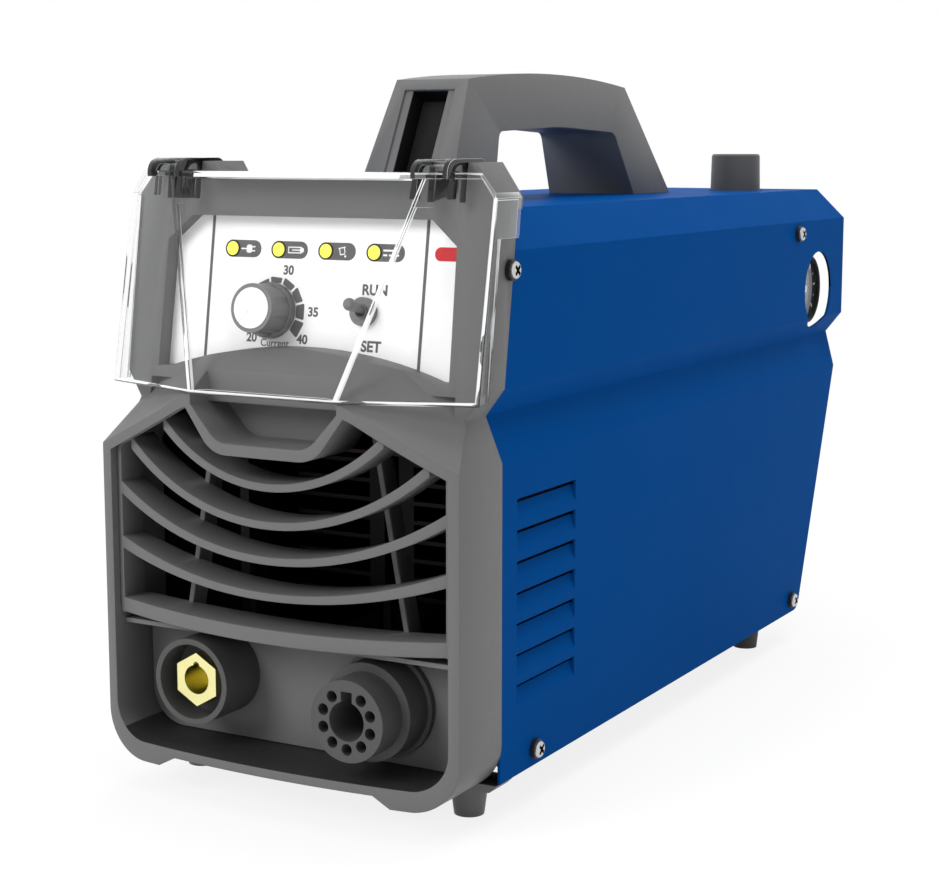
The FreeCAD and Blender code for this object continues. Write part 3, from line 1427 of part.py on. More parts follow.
makers = {
    "front_bezel": make_front_bezel,
    "louvre_grille": make_louvre_grille,
    "clear_cover": make_clear_cover,
    "cover_hinge_pins": make_hinge_pins,
    "control_plate": make_control_plate,
    "led_lenses": make_led_lenses,
    "potentiometer": make_potentiometer,
    "potentiometer_shaft": make_pot_shaft,
    "current_knob": make_current_knob,
    "current_knob_cap": make_knob_cap,
    "toggle_switch": make_toggle_body,
    "toggle_nut": make_toggle_nut,
    "toggle_lever": make_toggle_lever,
    "socket_plate": make_socket_plate,
    "work_socket": make_work_socket,
    "work_socket_insert": make_work_insert,
    "torch_socket": make_torch_socket,
    "socket_nuts": make_socket_nuts,
    "sheet_cover": make_sheet_cover,
    "side_screws": make_side_screws,
    "screw_bushes": make_screw_bushes,
    "handle": make_handle,
    "handle_screws": make_handle_screws,
    "base_tray": make_base_tray,
    "rear_feet": make_rear_feet,
    "rear_panel": make_rear_panel,
    "fan_frame": make_fan_frame,
    "fan_rotor": make_fan_rotor,
    "fan_guard": make_fan_guard,
    "fan_screws": make_fan_screws,
    "power_switch": make_power_switch,
    "power_rocker": make_power_rocker,
    "cable_gland": make_cable_gland,
    "gland_nut": make_gland_nut,
    "regulator_bracket": make_regulator_bracket,
    "regulator_body": make_regulator_body,
    "regulator_stem": make_regulator_stem,
    "regulator_knob": make_regulator_knob,
    "regulator_bowl": make_regulator_bowl,
    "pressure_gauge": make_pressure_gauge,
    "gauge_lens": make_gauge_lens,
    "air_inlet": make_air_inlet,
    "outlet_pipe": make_outlet_pipe,
    "solenoid_valve": make_solenoid_valve,
    "main_board": make_main_board,
    "board_posts": make_board_posts,
    "heatsinks": make_heatsinks,
    "transformer_core": make_transformer,
    "transformer_winding": make_transformer_winding,
    "capacitors": make_capacitors,
    "control_board": make_control_board,
    "board_spacers": make_board_spacers,
}

os.makedirs("parts", exist_ok=True)
low = V(1e9, 1e9, 1e9)
high = V(-1e9, -1e9, -1e9)
for name, maker in makers.items():
    made = maker()
    solids = made if isinstance(made, list) else made.Solids
    shape = solids[0] if len(solids) == 1 else Part.makeCompound(solids)
    bound = shape.BoundBox
    low = V(min(low.x, bound.XMin), min(low.y, bound.YMin), min(low.z, bound.ZMin))
    high = V(max(high.x, bound.XMax), max(high.y, bound.YMax), max(high.z, bound.ZMax))
    state = "valid" if shape.isValid() else "NOT VALID"
    print(name, len(solids), "solids", state, round(shape.Volume / 1000, 1), "cm3")
    shape.exportStep("parts/%s.step" % name)
print("box", [round(c, 2) for c in low], [round(c, 2) for c in high])
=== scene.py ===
# Portable plasma cutting unit, dressed in the order in which it is put together.
import bpy
import math
from mathutils import Matrix, Vector


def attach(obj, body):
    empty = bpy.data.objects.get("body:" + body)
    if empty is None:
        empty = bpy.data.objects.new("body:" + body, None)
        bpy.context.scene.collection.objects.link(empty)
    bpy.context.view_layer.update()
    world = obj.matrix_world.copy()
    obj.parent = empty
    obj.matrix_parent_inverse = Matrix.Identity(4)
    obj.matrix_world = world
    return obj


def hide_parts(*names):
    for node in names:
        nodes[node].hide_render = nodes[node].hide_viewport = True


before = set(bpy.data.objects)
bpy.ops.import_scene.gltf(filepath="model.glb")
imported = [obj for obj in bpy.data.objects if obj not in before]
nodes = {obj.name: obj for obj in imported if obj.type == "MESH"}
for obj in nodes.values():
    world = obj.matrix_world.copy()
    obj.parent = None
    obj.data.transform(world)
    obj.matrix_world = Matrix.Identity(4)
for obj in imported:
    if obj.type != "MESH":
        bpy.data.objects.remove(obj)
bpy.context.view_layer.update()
scene = bpy.context.scene
scene.view_settings.view_transform = "Standard"
MM = 0.001

# Camera and room. The unit stands on a pale floor under soft lamps, and the camera looks
# down a little on its front right-hand corner, from just above the roof.
camera_place = (468.0 * MM, -893.0 * MM, 286.2 * MM)
camera_yaw = 29.322
camera_dip = 8.674
focal_length_px = 1948.4
picture_width_px = 938
sensor_width_mm = 36.0

camera = bpy.data.objects.new("camera", bpy.data.cameras.new("camera"))
scene.collection.objects.link(camera)
camera.data.sensor_width = sensor_width_mm
camera.data.lens = focal_length_px / picture_width_px * sensor_width_mm
camera.data.clip_start = 0.01
camera.location = camera_place
camera.rotation_euler = (math.radians(90 - camera_dip), 0, math.radians(camera_yaw))
scene.camera = camera

middle = Vector((0, 0, 160.0 * MM))
for name, place, size, power in (
    ("key_lamp", (-1.1, -2.6, 1.7), 1.6, 62.0),
    ("roof_lamp", (0.2, 0.3, 2.5), 2.0, 44.0),
    ("side_lamp", (2.6, -0.3, 1.5), 1.4, 6.0),
    ("back_lamp", (-1.0, 2.6, 1.6), 1.6, 18.0),
):
    bpy.ops.object.light_add(type="AREA", location=place)
    lamp = bpy.context.object
    lamp.name = name
    lamp.data.shape = "DISK"
    lamp.data.size = size
    lamp.data.energy = power
    lamp.visible_glossy = False
    lamp.rotation_euler = (middle - Vector(place)).to_track_quat("-Z", "Y").to_euler()


class Value:
    """A number, colour or vector in a material. Arithmetic on numbers adds the nodes."""

    def __init__(self, paint, socket):
        self.paint = paint
        self.socket = socket

    def sum(self, operation, first, second=0.0):
        return self.paint.node("ShaderNodeMath", {"operation": operation}, {0: first, 1: second})

    def __add__(self, other):
        return self.sum("ADD", self, other)

    def __sub__(self, other):
        return self.sum("SUBTRACT", self, other)

    def __rsub__(self, other):
        return self.sum("SUBTRACT", other, self)

    def __mul__(self, other):
        return self.sum("MULTIPLY", self, other)

    def __pow__(self, other):
        return self.sum("POWER", self, other)

    def __gt__(self, other):
        return self.sum("GREATER_THAN", self, other)

    def __lt__(self, other):
        return self.sum("LESS_THAN", self, other)

    def __abs__(self):
        return self.sum("ABSOLUTE", self)

    __radd__ = __add__
    __rmul__ = __mul__


class Paint:
    """A material, or the world. Sockets given by name are the same all over."""

    def __init__(self, name, owner=None, **sockets):
        self.material = owner or bpy.data.materials.new(name)
        self.material.use_nodes = True
        self.tree = self.material.node_tree
        self.shader = self.tree.nodes.get("Principled BSDF")
        for socket, value in sockets.items():
            self.shader.inputs[socket.replace("_", " ")].default_value = value

    def node(self, kind, settings=None, values=None, output=0):
        """A node: its type, then its settings, then what goes into its sockets."""
        made = self.tree.nodes.new(kind)
        for setting, value in (settings or {}).items():
            setattr(made, setting, value)
        for socket, value in (values or {}).items():
            if isinstance(value, Value):
                self.tree.links.new(value.socket, made.inputs[socket])
            else:
                made.inputs[socket].default_value = value
        return Value(self, made.outputs[output])

    def feed(self, **links):
        """Links values to the shader's sockets."""
        for socket, value in links.items():
            self.tree.links.new(value.socket, self.shader.inputs[socket.replace("_", " ")])
        return self.material

    def place(self, stretch=(1, 1, 1), shift=(0, 0, 0)):
        """A point of the object, stretched and moved."""
        where = self.node("ShaderNodeTexCoord", output="Object")
        return self.node("ShaderNodeMapping", values={"Vector": where, "Scale": stretch, "Location": shift})

    def axes(self):
        """The three coordinates of a point, in metres."""
        split = self.node("ShaderNodeSeparateXYZ", values={0: self.place()})
        return [Value(self, split.socket.node.outputs[i]) for i in range(3)]

    def noise(self, scale, detail=2.0, stretch=(1, 1, 1)):
        sockets = {"Vector": self.place(stretch), "Scale": scale, "Detail": detail}
        return self.node("ShaderNodeTexNoise", values=sockets)

    def mix(self, factor, first, second):
        return self.node("ShaderNodeMix", {"data_type": "RGBA"}, {0: factor, 6: first, 7: second}, 2)

    def bump(self, height, distance, strength=1.0, normal=None):
        sockets = {"Height": height, "Distance": distance, "Strength": strength}
        if normal is not None:
            sockets["Normal"] = normal
        return self.node("ShaderNodeBump", values=sockets)

    def eased(self, radius):
        """Normal that rounds the edges of a node which keeps its own mesh."""
        return self.node("ShaderNodeBevel", {"samples": 4}, {"Radius": radius})

    def finish_with(self, factor, other):
        """Puts a second shader beside the main one, by factor."""
        both = self.node("ShaderNodeMixShader", values={0: factor, 2: other})
        self.tree.links.new(self.shader.outputs["BSDF"], both.socket.node.inputs[1])
        self.tree.links.new(both.socket, self.tree.nodes["Material Output"].inputs["Surface"])
        return self.material


def seen_directly(paint):
    """1 for a ray that shows the backdrop itself, straight, mirrored or through glass."""
    camera_ray, glossy_ray, clear_ray = [
        paint.node("ShaderNodeLightPath", output="Is %s Ray" % kind)
        for kind in ("Camera", "Glossy", "Transmission")]
    return camera_ray + glossy_ray + clear_ray > 0.5


light_level = 0.5
world = bpy.data.worlds.new("studio")
scene.world = world
studio = Paint("studio", world)
background = studio.tree.nodes["Background"]
background.inputs["Color"].default_value = (1, 1, 1, 1)
level = seen_directly(studio) * (1 - light_level) + light_level
studio.tree.links.new(level.socket, background.inputs["Strength"])

floor_wide = 8.0
shadow_kept = 0.16
shadow_ends = (0.33, 0.75)
shadow_stretch = (1.0, 0.72, 1)
bpy.ops.mesh.primitive_plane_add(size=floor_wide)
floor = bpy.context.object
floor.name = "floor"
pale = Paint("pale_floor", Base_Color=(0.9, 0.9, 0.9, 1), Roughness=0.9, Specular_IOR_Level=0.0)
reach = pale.node("ShaderNodeVectorMath", {"operation": "LENGTH"}, {0: pale.place(shadow_stretch)}, "Value")
far = pale.node("ShaderNodeMapRange", {"interpolation_type": "SMOOTHSTEP"},
                {"Value": reach, "From Min": shadow_ends[0], "From Max": shadow_ends[1]})
white = pale.node("ShaderNodeEmission", values={"Color": (1, 1, 1, 1), "Strength": 1.0})
whitened = seen_directly(pale) * (1 - (1 - far) * shadow_kept)
floor.data.materials.append(pale.finish_with(whitened, white))


# Steel cover: one sheet folded over the machine and powder coated in a satin blue with a
# fine orange peel. Its faces that look inward are painted near-black, as painted shade.
def wear(node, finish):
    """Gives its finish to a node that keeps its own mesh."""
    nodes[node].data.materials.clear()
    nodes[node].data.materials.append(finish)


cover_half = 90.0 * MM
cover_top = 259.2 * MM
core_z = 145.0 * MM
fold_radius = 0.7 * MM
peel_deep = 0.05 * MM
satin = 0.40
scuffed_over = 0.74
scuff_share = 0.10
light_blue = (0.0004, 0.058, 0.238, 1)
deep_blue = (0.0003, 0.053, 0.222, 1)
rubbed_blue = (0.02, 0.09, 0.26, 1)
painted_inside_shade = (0.004, 0.005, 0.006, 1)
blue = Paint("blue_powder_coat", Specular_IOR_Level=0.005)
facing = blue.node("ShaderNodeTexCoord", output="Normal")
from_core = blue.place((1, 0, 1), (0, 0, -core_z))
outward = blue.node("ShaderNodeVectorMath", {"operation": "DOT_PRODUCT"}, {0: facing, 1: from_core}, "Value")
# painted shade: faces whose normal points in towards the middle of the cover are near-black
inside_shade_mask = outward < -1.0 * MM
coat = blue.mix(blue.noise(7.0), deep_blue, light_blue)
scuffs = blue.noise(38.0, 6.0, (1, 0.35, 1)) > scuffed_over
coat = blue.mix(scuffs * scuff_share, coat, rubbed_blue)
blue_coat = blue.feed(
    Base_Color=blue.mix(inside_shade_mask, coat, painted_inside_shade),
    Roughness=blue.noise(45.0, 3.0) * 0.14 + satin,
    Normal=blue.bump(blue.noise(1100.0), peel_deep, 0.4, blue.eased(fold_radius)))
wear("sheet_cover", blue_coat)


# Front: a thick moulded frame in grey glass-filled nylon with a bow across its face, and
# the louvre grille that slides into it from the front.
def only(*objects):
    """Selects just these, the last one active."""
    bpy.ops.object.select_all(action="DESELECT")
    for item in objects:
        item.select_set(True)
    bpy.context.view_layer.objects.active = objects[-1]


def settle(piece, name, finish, body):
    """Names a finished piece and fixes it to its body. It keeps finishes that it already has."""
    only(piece)
    bpy.ops.object.transform_apply()
    piece.name = name
    if not piece.data.materials:
        piece.data.materials.append(finish)
    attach(piece, body)
    return piece


def press(piece, kind, **settings):
    """Adds a modifier and applies it."""
    only(piece)
    modifier = piece.modifiers.new(kind.lower(), kind)
    for setting, value in settings.items():
        setattr(modifier, setting, value)
    bpy.ops.object.modifier_apply(modifier=modifier.name)


weld_reach = 0.002 * MM
flat_turn = math.radians(0.6)
sharp_turn = math.radians(32)
smooth_turn = math.radians(38)


def soften(node, width, finish, body="housing", edge_finish=None):
    """Copy of a node's mesh with its sharp edges rounded, shown in its place."""
    piece = bpy.data.objects.new(node + "_softened", nodes[node].data.copy())
    scene.collection.objects.link(piece)
    piece.data.materials.clear()
    piece.data.materials.append(finish)
    if edge_finish:
        piece.data.materials.append(edge_finish)
    only(piece)
    bpy.ops.object.mode_set(mode="EDIT")
    bpy.ops.mesh.select_all(action="SELECT")
    bpy.ops.mesh.remove_doubles(threshold=weld_reach)
    bpy.ops.mesh.dissolve_limited(angle_limit=flat_turn)
    bpy.ops.object.mode_set(mode="OBJECT")
    press(piece, "BEVEL", width=width, segments=2, limit_method="ANGLE", angle_limit=sharp_turn,
          use_clamp_overlap=True, miter_outer="MITER_ARC", material=1 if edge_finish else -1)
    only(piece)
    bpy.ops.object.shade_smooth_by_angle(angle=smooth_turn)
    settle(piece, node + "_softened", finish, body)
    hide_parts(node)
    return piece


grain_deep = 0.04 * MM
grain_dull = 0.14


def moulding(name, shade, rough, edge=0.6 * MM, mask=None, under=None):
    """Moulded plastic with a fine spark-eroded grain. Under a mask it is another shade."""
    paint = Paint(name, Specular_IOR_Level=0.35)
    cloud = paint.mix(paint.noise(9.0), (shade * 0.95,) * 3 + (1,), (shade * 1.05,) * 3 + (1,))
    if mask is not None:
        cloud = paint.mix(mask(paint), cloud, (under,) * 3 + (1,))
    return paint.feed(
        Base_Color=cloud, Roughness=paint.noise(260.0) * grain_dull + (rough - grain_dull / 2),
        Normal=paint.bump(paint.noise(2200.0), grain_deep, 0.3, paint.eased(edge)))


recess_floor_top = 45.0 * MM
looks_up = 0.7
moulding_grey = 0.120
recess_floor_shade = 0.022
frame_rounding = 0.6 * MM
blade_rounding = 0.4 * MM


def on_shaded_recess_floor(paint):
    """1 on the faces that look up inside the socket recess, which get near-black painted shade."""
    height = paint.axes()[2]
    normal = paint.node("ShaderNodeTexCoord", output="Normal")
    upward = paint.node("ShaderNodeSeparateXYZ", values={0: normal}, output="Z")
    return (upward > looks_up) * (height < recess_floor_top)


# painted shade: the faces that look up inside the socket recess are near-black
grey_plastic = moulding("grey_moulding", moulding_grey, 0.5, mask=on_shaded_recess_floor, under=recess_floor_shade)
soften("front_bezel", frame_rounding, grey_plastic)
soften("louvre_grille", blade_rounding, grey_plastic)

# Carrying handle: a hollow moulding in the same grey, with a black soft insert let into
# the slot of its front face.
cover_front = -193.25 * MM
handle_foot_y = cover_front + 69.7 * MM
handle_brow_y = cover_front + 98.6 * MM
handle_brow_z = 316.0 * MM
handle_lean = math.atan2(handle_brow_y - handle_foot_y, handle_brow_z - cover_top)
handle_rounding = 0.9 * MM
insert_black = 0.004
insert_half = 9.6 * MM
insert_face = 1.6 * MM
slot_deep = 12.5 * MM
slot_foot_z = cover_top + 3.0 * MM
slot_head_z = cover_top + 53.0 * MM


def in_handle_slot(paint):
    """1 inside the slot of the handle's front face."""
    x, y, z = paint.axes()
    face = (z - cover_top) * math.tan(handle_lean) + handle_foot_y
    deep = (y - face) * math.cos(handle_lean)
    beside_insert = (abs(x) < insert_half) * (z > slot_foot_z) * (z < slot_head_z)
    return beside_insert * (deep > insert_face) * (deep < slot_deep)


handle_plastic = moulding("handle_moulding", 0.130, 0.5, mask=in_handle_slot, under=insert_black)
soften("handle", handle_rounding, handle_plastic)

# Control panel: a white plate behind the window, printed in dark grey, with four yellow
# lamps, the current dial and the run switch.
white_print = Paint("white_panel", Roughness=0.4, Specular_IOR_Level=0.2)
paper = white_print.mix(white_print.noise(20.0), (0.90, 0.90, 0.90, 1), (0.93, 0.93, 0.93, 1))
white_panel = white_print.feed(Base_Color=paper)
wear("control_plate", white_panel)

panel_lean = math.radians(8.5)
panel_centre = (0, cover_front - 3.0 * MM, 223.0 * MM)
panel_frame = Matrix.Translation(panel_centre) @ Matrix.Rotation(math.pi / 2 - panel_lean, 4, "X")
print_lift = 0.06 * MM


def patch(x, z, wide, tall, corner=0.0, turn=0.0, taper=1.0, about=(0, 0), outer_only=False):
    """Flat printed patch, in mm, set at x, z from a point and turned about that point. Its
    lower edge is narrower by taper, and all corners, or the upper two, are rounded."""
    bpy.ops.mesh.primitive_plane_add(size=1)
    made = bpy.context.object
    made.scale = (wide * MM, tall * MM, 1)
    bpy.ops.object.transform_apply()
    for vertex in made.data.vertices:
        if vertex.co.y < 0:
            vertex.co.x *= taper
    if corner:
        bpy.ops.object.mode_set(mode="EDIT")
        bpy.ops.mesh.select_mode(type="VERT")
        bpy.ops.mesh.select_all(action="DESELECT")
        bpy.ops.object.mode_set(mode="OBJECT")
        for vertex in made.data.vertices:
            vertex.select = vertex.co.y > 0 or not outer_only
        bpy.ops.object.mode_set(mode="EDIT")
        bpy.ops.mesh.bevel(affect="VERTICES", offset=corner * MM, segments=5)
        bpy.ops.object.mode_set(mode="OBJECT")
    centre = Matrix.Translation((about[0] * MM, about[1] * MM, 0))
    spot = Matrix.Translation((x * MM, z * MM, 0))
    made.matrix_world = centre @ Matrix.Rotation(math.radians(turn), 4, "Z") @ spot
    bpy.ops.object.transform_apply()
    return made


def word(text, x, z, cap, bold=0.0):
    """Printed word with its middle at x, z and capitals of height cap, in mm."""
    bpy.ops.object.text_add()
    made = bpy.context.object
    made.data.body = text
    made.data.align_x = "CENTER"
    made.data.offset = bold
    bpy.ops.object.convert(target="MESH")
    made = bpy.context.object
    low = min(vertex.co.y for vertex in made.data.vertices)
    high = max(vertex.co.y for vertex in made.data.vertices)
    scale = cap * MM / (high - low)
    lower = Matrix.Translation((0, -(low + high) / 2, 0))
    made.matrix_world = Matrix.Translation((x * MM, z * MM, 0)) @ Matrix.Scale(scale, 4) @ lower
    bpy.ops.object.transform_apply()
    return made


def printed(parts, name, ink, place, lift):
    """Joins patches of one ink and lays them on their face."""
    only(*parts)
    bpy.ops.object.join()
    whole = bpy.context.object
    whole.matrix_world = place @ Matrix.Translation((0, 0, lift))
    return settle(whole, name, ink, "housing")


def printing_ink(name, colour):
    """Screen print, very slightly uneven."""
    paint = Paint(name, Roughness=0.5, Specular_IOR_Level=0.15)
    thin, full = [tuple(part * share for part in colour) + (1,) for share in (0.92, 1.08)]
    return paint.feed(Base_Color=paint.mix(paint.noise(400.0), thin, full))


# places on the panel are in mm from its centre
led_places = (-43.8, -19.4, 5.0, 29.4)
led_z = 18.0
dial_x = -20.5
dial_z = -8.6
pill_wide = 18.3
pill_tall = 7.5
pill_start = -3.2
pill_corner = 3.6
icon_start = 11.6
grey_ink = printing_ink("grey_ink", (0.115, 0.115, 0.115))
white_ink = printing_ink("white_ink", (0.82, 0.82, 0.82))
red_ink = printing_ink("red_ink", (0.58, 0.03, 0.035))

line_x = 55.0
line_wide = 1.5
line_tall = 66.0
grey_parts = [
    patch(x + pill_start + pill_wide / 2, led_z, pill_wide, pill_tall, pill_corner) for x in led_places]
grey_parts += [patch(side * line_x, 0.0, line_wide, line_tall) for side in (-1, 1)]

# ring of ticks round the dial, growing from the lowest setting to the highest
tick_first = 138.5
tick_step = 28.5
tick_inner = 12.2
tick_growth = 0.59
tick_trim = 0.5
tick_gap = 1.0
tick_corner = 0.9
tick_spread = 2 * math.tan(math.radians(tick_step / 2))
for k in range(2, 10):
    length = tick_growth * k - tick_trim
    outer_wide = (tick_inner + length) * tick_spread - tick_gap
    inner_wide = tick_inner * tick_spread - tick_gap
    grey_parts.append(patch(
        0, tick_inner + length / 2, outer_wide, length, min(tick_corner, length / 3),
        tick_first - tick_step * k, inner_wide / outer_wide, (dial_x, dial_z), True))

number_cap = 4.2
bold = 0.035
light = 0.015
for text, x, z, cap, weight in (
    ("20", -30.6, -20.5, number_cap, bold),
    ("30", -13.6, 9.3, number_cap, bold),
    ("35", 0.6, -8.3, number_cap, bold),
    ("40", -4.1, -20.3, number_cap, bold),
    ("Current", -18.3, -22.5, 3.3, light),
    ("RUN", 31.0, 2.2, 4.7, bold),
    ("SET", 30.9, -21.7, 4.9, bold),
):
    grey_parts.append(word(text, x, z, cap, weight))
printed(grey_parts, "panel_print", grey_ink, panel_frame, print_lift)

# white symbols on the pills: mains plug, heat, torch, direct current
plug, heat, torch, current = [x + pill_start + icon_start for x in led_places]
icon_parts = [
    patch(plug + 0.4, led_z, 3.0, 3.6, 1.0),
    patch(plug + 2.6, led_z + 0.9, 1.8, 0.6),
    patch(plug + 2.6, led_z - 0.9, 1.8, 0.6),
    patch(plug - 2.4, led_z, 3.0, 0.6),
    patch(heat, led_z + 1.2, 7.0, 0.5),
    patch(heat, led_z - 1.2, 7.0, 0.5),
    patch(heat - 3.3, led_z, 0.5, 2.4),
    patch(heat + 0.6, led_z, 4.0, 0.5),
    patch(heat + 3.6, led_z, 2.2, 2.2, 1.0),
    patch(0, 1.6, 3.6, 0.5, 0.0, 12, 1.0, (torch, led_z)),
    patch(-1.2, 0.2, 0.5, 3.0, 0.0, 12, 1.0, (torch, led_z)),
    patch(1.2, 0.4, 0.5, 2.4, 0.0, 12, 1.0, (torch, led_z)),
    patch(0, -1.2, 2.4, 0.5, 0.0, 12, 1.0, (torch, led_z)),
    patch(torch + 1.6, led_z - 2.0, 1.0, 1.0, 0.4),
    patch(current, led_z + 1.0, 8.0, 0.8),
]
icon_parts += [patch(current + step * 2.9, led_z - 1.0, 2.0, 0.8) for step in (-1, 0, 1)]
printed(icon_parts, "panel_symbols", white_ink, panel_frame, 2 * print_lift)
red_pill = patch(67.0, 18.2, 16.0, 5.8, 2.8)
printed([red_pill], "panel_red_mark", red_ink, panel_frame, print_lift)

yellow = Paint("yellow_lens", Roughness=0.15, Coat_Weight=0.5, Emission_Strength=0.3)
glow = yellow.mix(yellow.noise(300.0), (1.0, 0.93, 0.06, 1), (1.0, 0.98, 0.10, 1))
wear("led_lenses", yellow.feed(Base_Color=glow, Emission_Color=glow))

black_plastic = moulding("black_plastic", 0.012, 0.42, 0.3 * MM)
rim_outer = 3.75 * MM
rim_wall = 0.7 * MM
rim_deep = 0.5 * MM
rim_rounding = 0.15 * MM
bpy.ops.mesh.primitive_cylinder_add(vertices=48, radius=rim_outer, depth=rim_deep, end_fill_type="NOTHING")
rim = bpy.context.object
press(rim, "SOLIDIFY", thickness=rim_wall, offset=-1)
press(rim, "BEVEL", width=rim_rounding, segments=2)
for index, x in enumerate(led_places):
    copy = bpy.data.objects.new("rim", rim.data.copy())
    scene.collection.objects.link(copy)
    copy.matrix_world = panel_frame @ Matrix.Translation((x * MM, led_z * MM, rim_deep / 2))
    only(copy)
    bpy.ops.object.shade_smooth_by_angle(angle=math.radians(40))
    settle(copy, "led_rim_%d" % (index + 1), black_plastic, "housing")
bpy.data.objects.remove(rim)

knob_plastic = moulding("knob_moulding", 0.17, 0.42, 0.4 * MM)
wear("current_knob", knob_plastic)
wear("current_knob_cap", white_panel)
for node in ("toggle_switch", "toggle_nut", "toggle_lever"):
    wear(node, knob_plastic)

# Clear cover: polycarbonate, hinged on a steel pin through each ear of the front.
# Its flat walls are seen straight through, with a sheen that grows towards a glancing view.
# Its rounded edges are painted near-white on the faces turned up, forward and to the right, and
# near-black as painted shade on the others; a painted highlight lies along its top edge between
# the ears; the two ribs of each arm are black.
arm_ribs = (59.4 * MM, 74.6 * MM)
arm_rib_half = 1.15 * MM
arm_foot_z = 264.0 * MM
top_edge_z = 272.2 * MM
between_ears = 52.0 * MM
flat_haze = 0.012
top_edge_highlight = 0.8
wall_sheen_and_top_highlight = (0.96, 0.98, 1.0, 1)
rib_black = (0.008, 0.008, 0.008, 1)
clear = Paint("clear_plastic")
glance = clear.node("ShaderNodeLayerWeight", values={"Blend": 0.5}, output="Facing")
x, _, z = clear.axes()
inner_rib, outer_rib = [abs(abs(x) - place) < arm_rib_half for place in arm_ribs]
in_arm_rib = (inner_rib + outer_rib) * (z > arm_foot_z)
# painted highlight: an opaque white strip along the top edge between the ears, not metallic
top_edge_highlight_mask = (z > top_edge_z) * (abs(x) < between_ears)
clear_plastic = clear.feed(
    Base_Color=clear.mix(in_arm_rib, wall_sheen_and_top_highlight, rib_black),
    Metallic=1 - in_arm_rib - top_edge_highlight_mask,
    Roughness=clear.noise(60.0, 4.0) * 0.05 + 0.02,
    Alpha=glance ** 5 + flat_haze + in_arm_rib + top_edge_highlight_mask * top_edge_highlight)

# painted highlight and shade on the rounded edges: faces turned towards lit_way are near-white, the others
# near-black, broken up by noise
lit_way = (0.5, -0.6, 0.62)
lit_from = 0.45
lit_broken = 2.4
edge_painted_shade = (0.05, 0.052, 0.055, 1)
edge_lit = (0.95, 0.96, 0.97, 1)
edge_rounding = 0.75 * MM
edge = Paint("clear_edge", IOR=1.49, Specular_IOR_Level=0.5)
normal = edge.node("ShaderNodeTexCoord", output="Normal")
lit = edge.node("ShaderNodeVectorMath", {"operation": "DOT_PRODUCT"}, {0: normal, 1: lit_way}, "Value")
lit = lit + (edge.noise(26.0) - 0.5) * lit_broken > lit_from
clear_edge = edge.feed(
    Base_Color=edge.mix(lit, edge_painted_shade, edge_lit),
    Roughness=edge.noise(60.0, 4.0) * 0.1 + 0.05,
    Alpha=edge.noise(120.0) * 0.2 + 0.65)
cover = soften("clear_cover", edge_rounding, clear_plastic, "clear_cover", clear_edge)

# the shallow creases between the facets of its front are rounded in the same way
crease_width = 0.8 * MM
crease_length = 40.0 * MM
crease_turn = (math.radians(14), sharp_turn)
beside = {}
for face in cover.data.polygons:
    for key in face.edge_keys:
        beside.setdefault(key, []).append(face.normal.copy())
only(cover)
bpy.ops.object.mode_set(mode="EDIT")
bpy.ops.mesh.select_mode(type="EDGE")
bpy.ops.mesh.select_all(action="DESELECT")
bpy.ops.object.mode_set(mode="OBJECT")
for crease in cover.data.edges:
    first, second = [cover.data.vertices[index].co for index in crease.vertices]
    normals = beside.get(crease.key, [])
    if (first - second).length > crease_length and len(normals) == 2:
        crease.select = crease_turn[0] < normals[0].angle(normals[1]) < crease_turn[1]
bpy.ops.object.mode_set(mode="EDIT")
bpy.ops.mesh.bevel(offset=crease_width, segments=2, material=1)
bpy.ops.object.mode_set(mode="OBJECT")


# Metal fittings: hinge pins, screws, shafts, guard and pipe are turned or bent in steel and
# plated, and the socket's insert is turned in brass.
marks_deep = 0.01 * MM
marks_dull = 0.16
metal_rounding = 0.3 * MM


def metal(name, shade, rough):
    """Plated or bare metal with fine machining marks and clouds of dull stain."""
    paint = Paint(name, Metallic=1.0)
    marks = paint.noise(700.0, 3.0)
    stained = tuple(part * 0.8 for part in shade)
    return paint.feed(
        Base_Color=paint.mix(paint.noise(60.0, 4.0), shade + (1,), stained + (1,)),
        Roughness=marks * marks_dull + (rough - marks_dull / 2),
        Normal=paint.bump(marks, marks_deep, 0.4, paint.eased(metal_rounding)))


steel = metal("plated_steel", (0.62, 0.62, 0.61), 0.28)
brass = metal("brass", (1.0, 0.93, 0.45), 0.24)
black_metal_for_shade = metal("black_metal_for_shade", (0.03, 0.03, 0.032), 0.45)
for node in ("cover_hinge_pins", "handle_screws", "fan_screws", "potentiometer_shaft", "regulator_stem",
             "fan_guard", "outlet_pipe", "air_inlet", "potentiometer"):
    wear(node, steel)

# Side screws: plated pan heads with a cross recess. Each stands on a black bush and holds
# the steel cover to the front, the base or the rear panel.
head_r = 3.7 * MM
head_t = 1.7 * MM
head_rounding = 1.2 * MM
cross_size = (5.2 * MM, 1.5 * MM, 2.6 * MM)
bush_t = 2.2 * MM
bezel_back = 10.0
bezel_proud = 0.8 * MM
shank_r = 2.0 * MM
screw_reach = 6.0 * MM
# each screw's distance back from the cover's front edge and its height, in mm
screw_spots = ((5.9, 235.0), (31.3, 24.8), (353.5, 24.8), (351.3, 236.0))
bpy.ops.mesh.primitive_cylinder_add(vertices=40, radius=head_r, depth=head_t, location=(0, 0, head_t / 2))
screw = bpy.context.object
screw.data.materials.append(steel)
bpy.ops.object.transform_apply()
bpy.ops.object.mode_set(mode="EDIT")
bpy.ops.mesh.select_mode(type="VERT")
bpy.ops.mesh.select_all(action="DESELECT")
bpy.ops.object.mode_set(mode="OBJECT")
for vertex in screw.data.vertices:
    vertex.select = vertex.co.z > head_t / 2
bpy.ops.object.mode_set(mode="EDIT")
bpy.ops.mesh.select_mode(type="EDGE")
bpy.ops.mesh.bevel(offset=head_rounding, segments=5)
bpy.ops.object.mode_set(mode="OBJECT")
